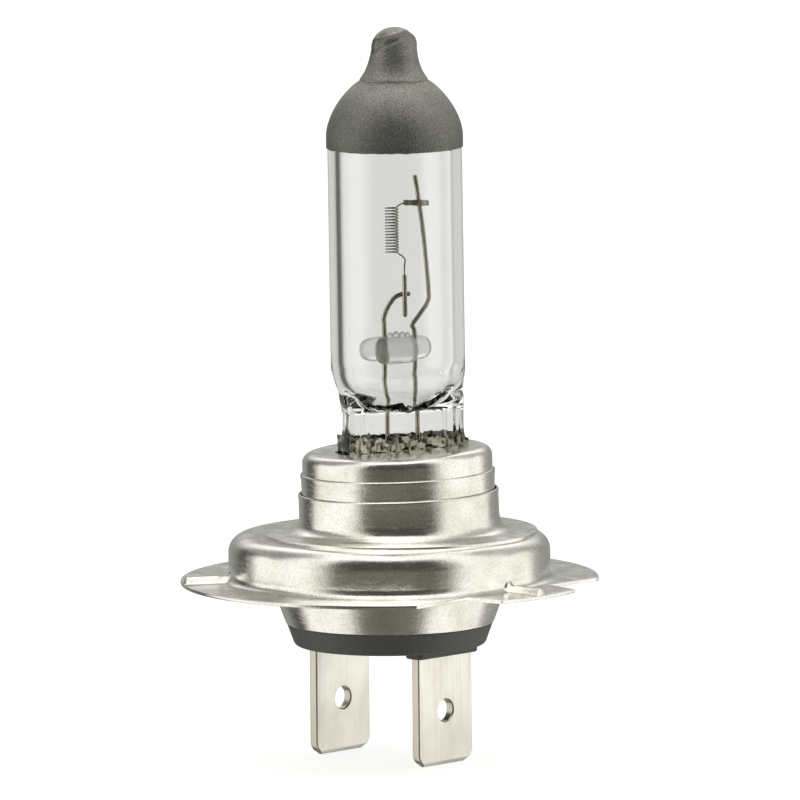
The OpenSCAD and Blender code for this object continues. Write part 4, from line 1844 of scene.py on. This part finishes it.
@dataclass
class Studio:
    """The camera, the pale floor and the soft light tent."""

    azimuth: float = 43.0
    elevation: float = 7.0
    distance: float = 1100.0
    roll: float = -0.55
    frame_width: float = 64.5
    aim_side: float = 0.98
    aim_level: float = 14.4
    floor_size: float = 4000.0

    def camera(self) -> None:
        """Place the camera."""
        a, e = math.radians(self.azimuth), math.radians(self.elevation)
        back = Vector((
            math.sin(a) * math.cos(e), -math.cos(a) * math.cos(e), math.sin(e)
        ))
        right = Vector((math.cos(a), math.sin(a), 0.0))
        aim = (right * self.aim_side + Vector((0.0, 0.0, self.aim_level - 0.55))) * MM
        data = bpy.data.cameras.new("camera")
        data.sensor_width = 36.0
        data.lens = data.sensor_width * self.distance / self.frame_width
        data.clip_start, data.clip_end = 0.05, 10.0
        made = bpy.data.objects.new("camera", data)
        bpy.context.scene.collection.objects.link(made)
        made.location = aim + back * self.distance * MM
        made.rotation_mode = "QUATERNION"
        look = (-back).to_track_quat("-Z", "Y")
        made.rotation_quaternion = look @ Matrix.Rotation(math.radians(self.roll), 3, "Z").to_quaternion()
        bpy.context.scene.camera = made

    def floor(self) -> None:
        """Lay the plain pale floor just under the blades."""
        low = CAD_BOX[0].z - 0.00001
        half = self.floor_size * MM / 2.0
        mesh = bpy.data.meshes.new("floor")
        mesh.from_pydata(
            [(-half, -half, low), (half, -half, low), (half, half, low), (-half, half, low)],
            [], [(0, 1, 2, 3)],
        )
        material, graph = new_material("pale_floor")
        paper = graph.add("BsdfDiffuse", {"Color": (0.3, 0.3, 0.295, 1.0)}).outputs["BSDF"]
        glow = graph.add("Emission", {"Color": (1.0, 1.0, 1.0, 1.0), "Strength": 0.86}).outputs[0]
        lit = graph.add("AddShader", {0: paper, 1: glow}).outputs[0]
        clear = graph.add("BsdfTransparent").outputs[0]
        under = graph.add("NewGeometry").outputs["Backfacing"]
        graph.surface(graph.add("MixShader", {0: under, 1: lit, 2: clear}).outputs[0])
        mesh.materials.append(material)
        made = bpy.data.objects.new("floor", mesh)
        bpy.context.scene.collection.objects.link(made)
        made.visible_glossy = False
        made.visible_transmission = False

    def _belt(
        self, graph: Graph, swing: bpy.types.NodeSocket, front: Colour
    ) -> bpy.types.NodeSocket:
        """Colour the tent round the horizon: dark in front, panels at both sides, pale behind.

        Args:
            graph: The world's graph.
            swing: The direction round the horizon, 0.5 towards the camera and growing to its right.
            front: The colour towards the camera.

        Returns:
            The colour's socket.
        """
        panel = (1.32, 1.305, 1.24)
        stops = [
            (-180.0, (0.78, 0.78, 0.76)), (-155.0, (0.66, 0.66, 0.64)), (-147.0, (0.5, 0.5, 0.48)),
            (-139.0, (0.04, 0.04, 0.035)), (-122.0, (0.05, 0.05, 0.045)), (-112.0, panel),
            (-56.0, panel), (-40.0, front), (40.0, front), (56.0, panel), (122.0, panel),
            (131.0, (0.45, 0.45, 0.43)), (150.0, (0.62, 0.62, 0.6)), (180.0, (0.78, 0.78, 0.76)),
        ]
        return graph.ramp(swing, [(0.5 + angle / 360.0, colour) for angle, colour in stops])

    def _canopy(self, graph: Graph, swing: bpy.types.NodeSocket) -> bpy.types.NodeSocket:
        """Colour the tent above the belt, where the side panels end sooner.

        Args:
            graph: The world's graph.
            swing: The direction round the horizon, as for the belt.

        Returns:
            The colour's socket.
        """
        front, panel, white = (0.085, 0.08, 0.068), (1.3, 1.285, 1.22), (1.5, 1.49, 1.45)
        stops = [
            (-180.0, white), (-158.0, white), (-140.0, (0.45, 0.45, 0.43)), (-100.0, (0.35, 0.35, 0.33)),
            (-80.0, panel), (-56.0, panel), (-40.0, front), (40.0, front), (56.0, panel),
            (92.0, panel), (108.0, (0.65, 0.65, 0.62)), (140.0, (0.6, 0.6, 0.58)), (158.0, white),
            (180.0, white),
        ]
        return graph.ramp(swing, [(0.5 + angle / 360.0, colour) for angle, colour in stops])

    def _passing(
        self, graph: Graph, colour: bpy.types.NodeSocket, swing: bpy.types.NodeSocket,
        front: bpy.types.NodeSocket, height: bpy.types.NodeSocket,
    ) -> bpy.types.NodeSocket:
        """Shade the tent apart for what is seen through the quartz and for repeated reflections.

        Args:
            graph: The world's graph.
            colour: The tent's colour so far.
            swing: The direction round the horizon, as for the belt.
            front: How far the direction points towards the camera.
            height: How far it points upwards.

        Returns:
            The colour's socket.
        """
        rear = graph.add("MapRange", {
            "Value": front, "From Min": -0.5, "From Max": -0.85, "To Min": 0.0, "To Max": 1.0
        }).outputs["Result"]
        low_rear = graph.add("MapRange", {
            "Value": height, "From Min": 0.35, "From Max": 0.2, "To Min": 0.0, "To Max": 0.75
        }).outputs["Result"]
        through = graph.add("LightPath").outputs["Is Transmission Ray"]
        opaque = graph.maths("SUBTRACT", 1.0, through)
        colour = graph.blend(through, colour, graph.blend(1.0, colour, (0.1, 0.1, 0.085), "LIGHTEN"))
        ahead = graph.add("MapRange", {
            "Value": front, "From Min": 0.35, "From Max": 0.6, "To Min": 0.0, "To Max": 1.0
        }).outputs["Result"]
        deep = graph.add("LightPath").outputs["Glossy Depth"]
        mirrored = graph.maths("GREATER_THAN", deep, 0.5)
        clear = graph.maths("MULTIPLY", through, graph.maths("SUBTRACT", 1.0, mirrored))
        colour = graph.blend(graph.maths("MULTIPLY", ahead, clear), colour, (0.75, 0.75, 0.73))
        glint = graph.ramp(swing, [(0.5 + angle / 360.0, shade) for angle, shade in (
            (-180.0, (0.78, 0.78, 0.76)), (-155.0, (0.66, 0.66, 0.64)), (-147.0, (0.5, 0.5, 0.48)),
            (-139.0, (0.04, 0.04, 0.035)), (-122.0, (0.05, 0.05, 0.045)), (-112.0, (1.32, 1.305, 1.24)),
            (-75.0, (2.2, 2.17, 2.05)), (-50.0, (0.6, 0.59, 0.54)), (-25.0, (0.15, 0.15, 0.13)),
            (45.0, (0.17, 0.17, 0.145)), (62.0, (0.8, 0.79, 0.75)), (85.0, (1.25, 1.24, 1.18)),
            (122.0, (1.25, 1.24, 1.18)), (131.0, (0.45, 0.45, 0.43)), (150.0, (0.62, 0.62, 0.6)),
            (180.0, (0.78, 0.78, 0.76)),
        )])
        colour = graph.blend(graph.maths("MULTIPLY", through, mirrored), colour, glint)
        dim = graph.maths("MULTIPLY", graph.maths("MULTIPLY", rear, low_rear), opaque)
        colour = graph.blend(dim, colour, (0.25, 0.25, 0.235))
        twice = graph.maths("MULTIPLY", graph.maths("GREATER_THAN", deep, 1.5), opaque)
        inner = graph.ramp(swing, [(0.5 + angle / 360.0, shade) for angle, shade in (
            (-180.0, (0.6, 0.6, 0.58)), (-88.0, (0.4, 0.4, 0.37)), (-54.0, (2.3, 2.3, 2.25)),
            (56.0, (2.3, 2.3, 2.25)), (95.0, (0.6, 0.6, 0.57)), (180.0, (0.6, 0.6, 0.58)),
        )])
        return graph.blend(twice, colour, inner)

    def tent(self) -> None:
        """Light the scene with a soft tent: bright panels at the sides and above, dark in front."""
        world = bpy.data.worlds.new("soft_tent")
        bpy.context.scene.world = world
        world.use_nodes = True
        graph = Graph(world.node_tree)
        toward = graph.add("TexCoord").outputs["Generated"]
        turned = graph.add("VectorRotate", {
            "Vector": toward, "Axis": (0.0, 0.0, 1.0), "Angle": math.radians(-self.azimuth),
        }, rotation_type="AXIS_ANGLE").outputs["Vector"]
        parts = graph.add("SeparateXYZ", {"Vector": turned}).outputs
        front = graph.maths("MULTIPLY", parts["Y"], -1.0)
        turn = graph.maths("ARCTAN2", parts["X"], front)
        swing = graph.maths("MULTIPLY_ADD", turn, 0.5 / math.pi, 0.5)
        high = self._belt(graph, swing, (0.085, 0.08, 0.068))
        low = self._belt(graph, swing, (0.2, 0.19, 0.16))
        sunk = graph.add("MapRange", {
            "Value": parts["Z"], "From Min": 0.02, "From Max": -0.14, "To Min": 0.0, "To Max": 1.0
        }, interpolation_type="SMOOTHSTEP").outputs["Result"]
        around = graph.blend(sunk, high, low)
        lofty = graph.add("MapRange", {
            "Value": parts["Z"], "From Min": 0.3, "From Max": 0.5, "To Min": 0.0, "To Max": 1.0
        }, interpolation_type="SMOOTHSTEP").outputs["Result"]
        around = graph.blend(lofty, around, self._canopy(graph, swing))
        above = graph.add("MapRange", {
            "Value": parts["Z"], "From Min": 0.84, "From Max": 0.94, "To Min": 0.0, "To Max": 1.0
        }, interpolation_type="SMOOTHSTEP").outputs["Result"]
        below = graph.add("MapRange", {
            "Value": parts["Z"], "From Min": -0.78, "From Max": -0.94, "To Min": 0.0, "To Max": 1.0
        }, interpolation_type="SMOOTHSTEP").outputs["Result"]
        colour = graph.blend(above, around, (1.6, 1.59, 1.55))
        colour = graph.blend(below, colour, (0.14, 0.135, 0.12))
        colour = self._passing(graph, colour, swing, front, parts["Z"])
        seen = graph.add("LightPath").outputs["Is Camera Ray"]
        colour = graph.blend(seen, colour, (1.0, 1.0, 1.0))
        light = graph.add("Background", {"Color": colour, "Strength": 1.0}).outputs[0]
        graph.add("OutputWorld", {"Surface": light})

    def build(self) -> None:
        """Set up everything that isn't part of the bulb."""
        self.camera()
        self.floor()
        self.tent()
        scene = bpy.context.scene
        scene.view_settings.view_transform = "Standard"
        scene.cycles.max_bounces = 24
        scene.cycles.transmission_bounces = 20
        scene.cycles.glossy_bounces = 6


COLLAR_LEAN = 1.4
BURNER_LEAN = 0.33
PINCH_TURN = 60.0
FLANGE_LEVEL = -0.55
PLATE_LEVEL = 3.52


def places() -> tuple[Place, Place, Place]:
    """Find where the collar, the washer's plate and the burner stand, from the CAD nodes.

    Returns:
        The three places.
    """
    level = FLANGE_LEVEL
    fall = math.sin(math.radians(COLLAR_LEAN))
    low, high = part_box("adjusting_ring")
    middle = (low + high) / 2.0 / MM
    side = math.degrees(math.atan2(middle.y, middle.x))
    shift = middle.xy.length + (middle.z - level) * fall
    collar = Place(shift=shift, lean=COLLAR_LEAN, side=side, flange_level=level)
    plate = Place(shift=shift - PLATE_LEVEL * fall, side=side, flange_level=level)
    burner = Place(shift=shift, lean=BURNER_LEAN, turn=PINCH_TURN, side=side, flange_level=level)
    return collar, plate, burner


def main() -> None:
    """Build the bulb from the camera inwards and report each piece."""
    logging.basicConfig(level=logging.INFO, format="%(message)s")
    Studio().build()
    collar, plate, burner = places()
    PrefocusRing().build()
    FocusCollar(collar, plate).build()
    PinchClip(burner).build()
    QuartzBurner(burner).build()
    FilamentMount(burner).build()
    BladeBase().build()
    SealMetal().dress()


if __name__ == "__main__":
    main()
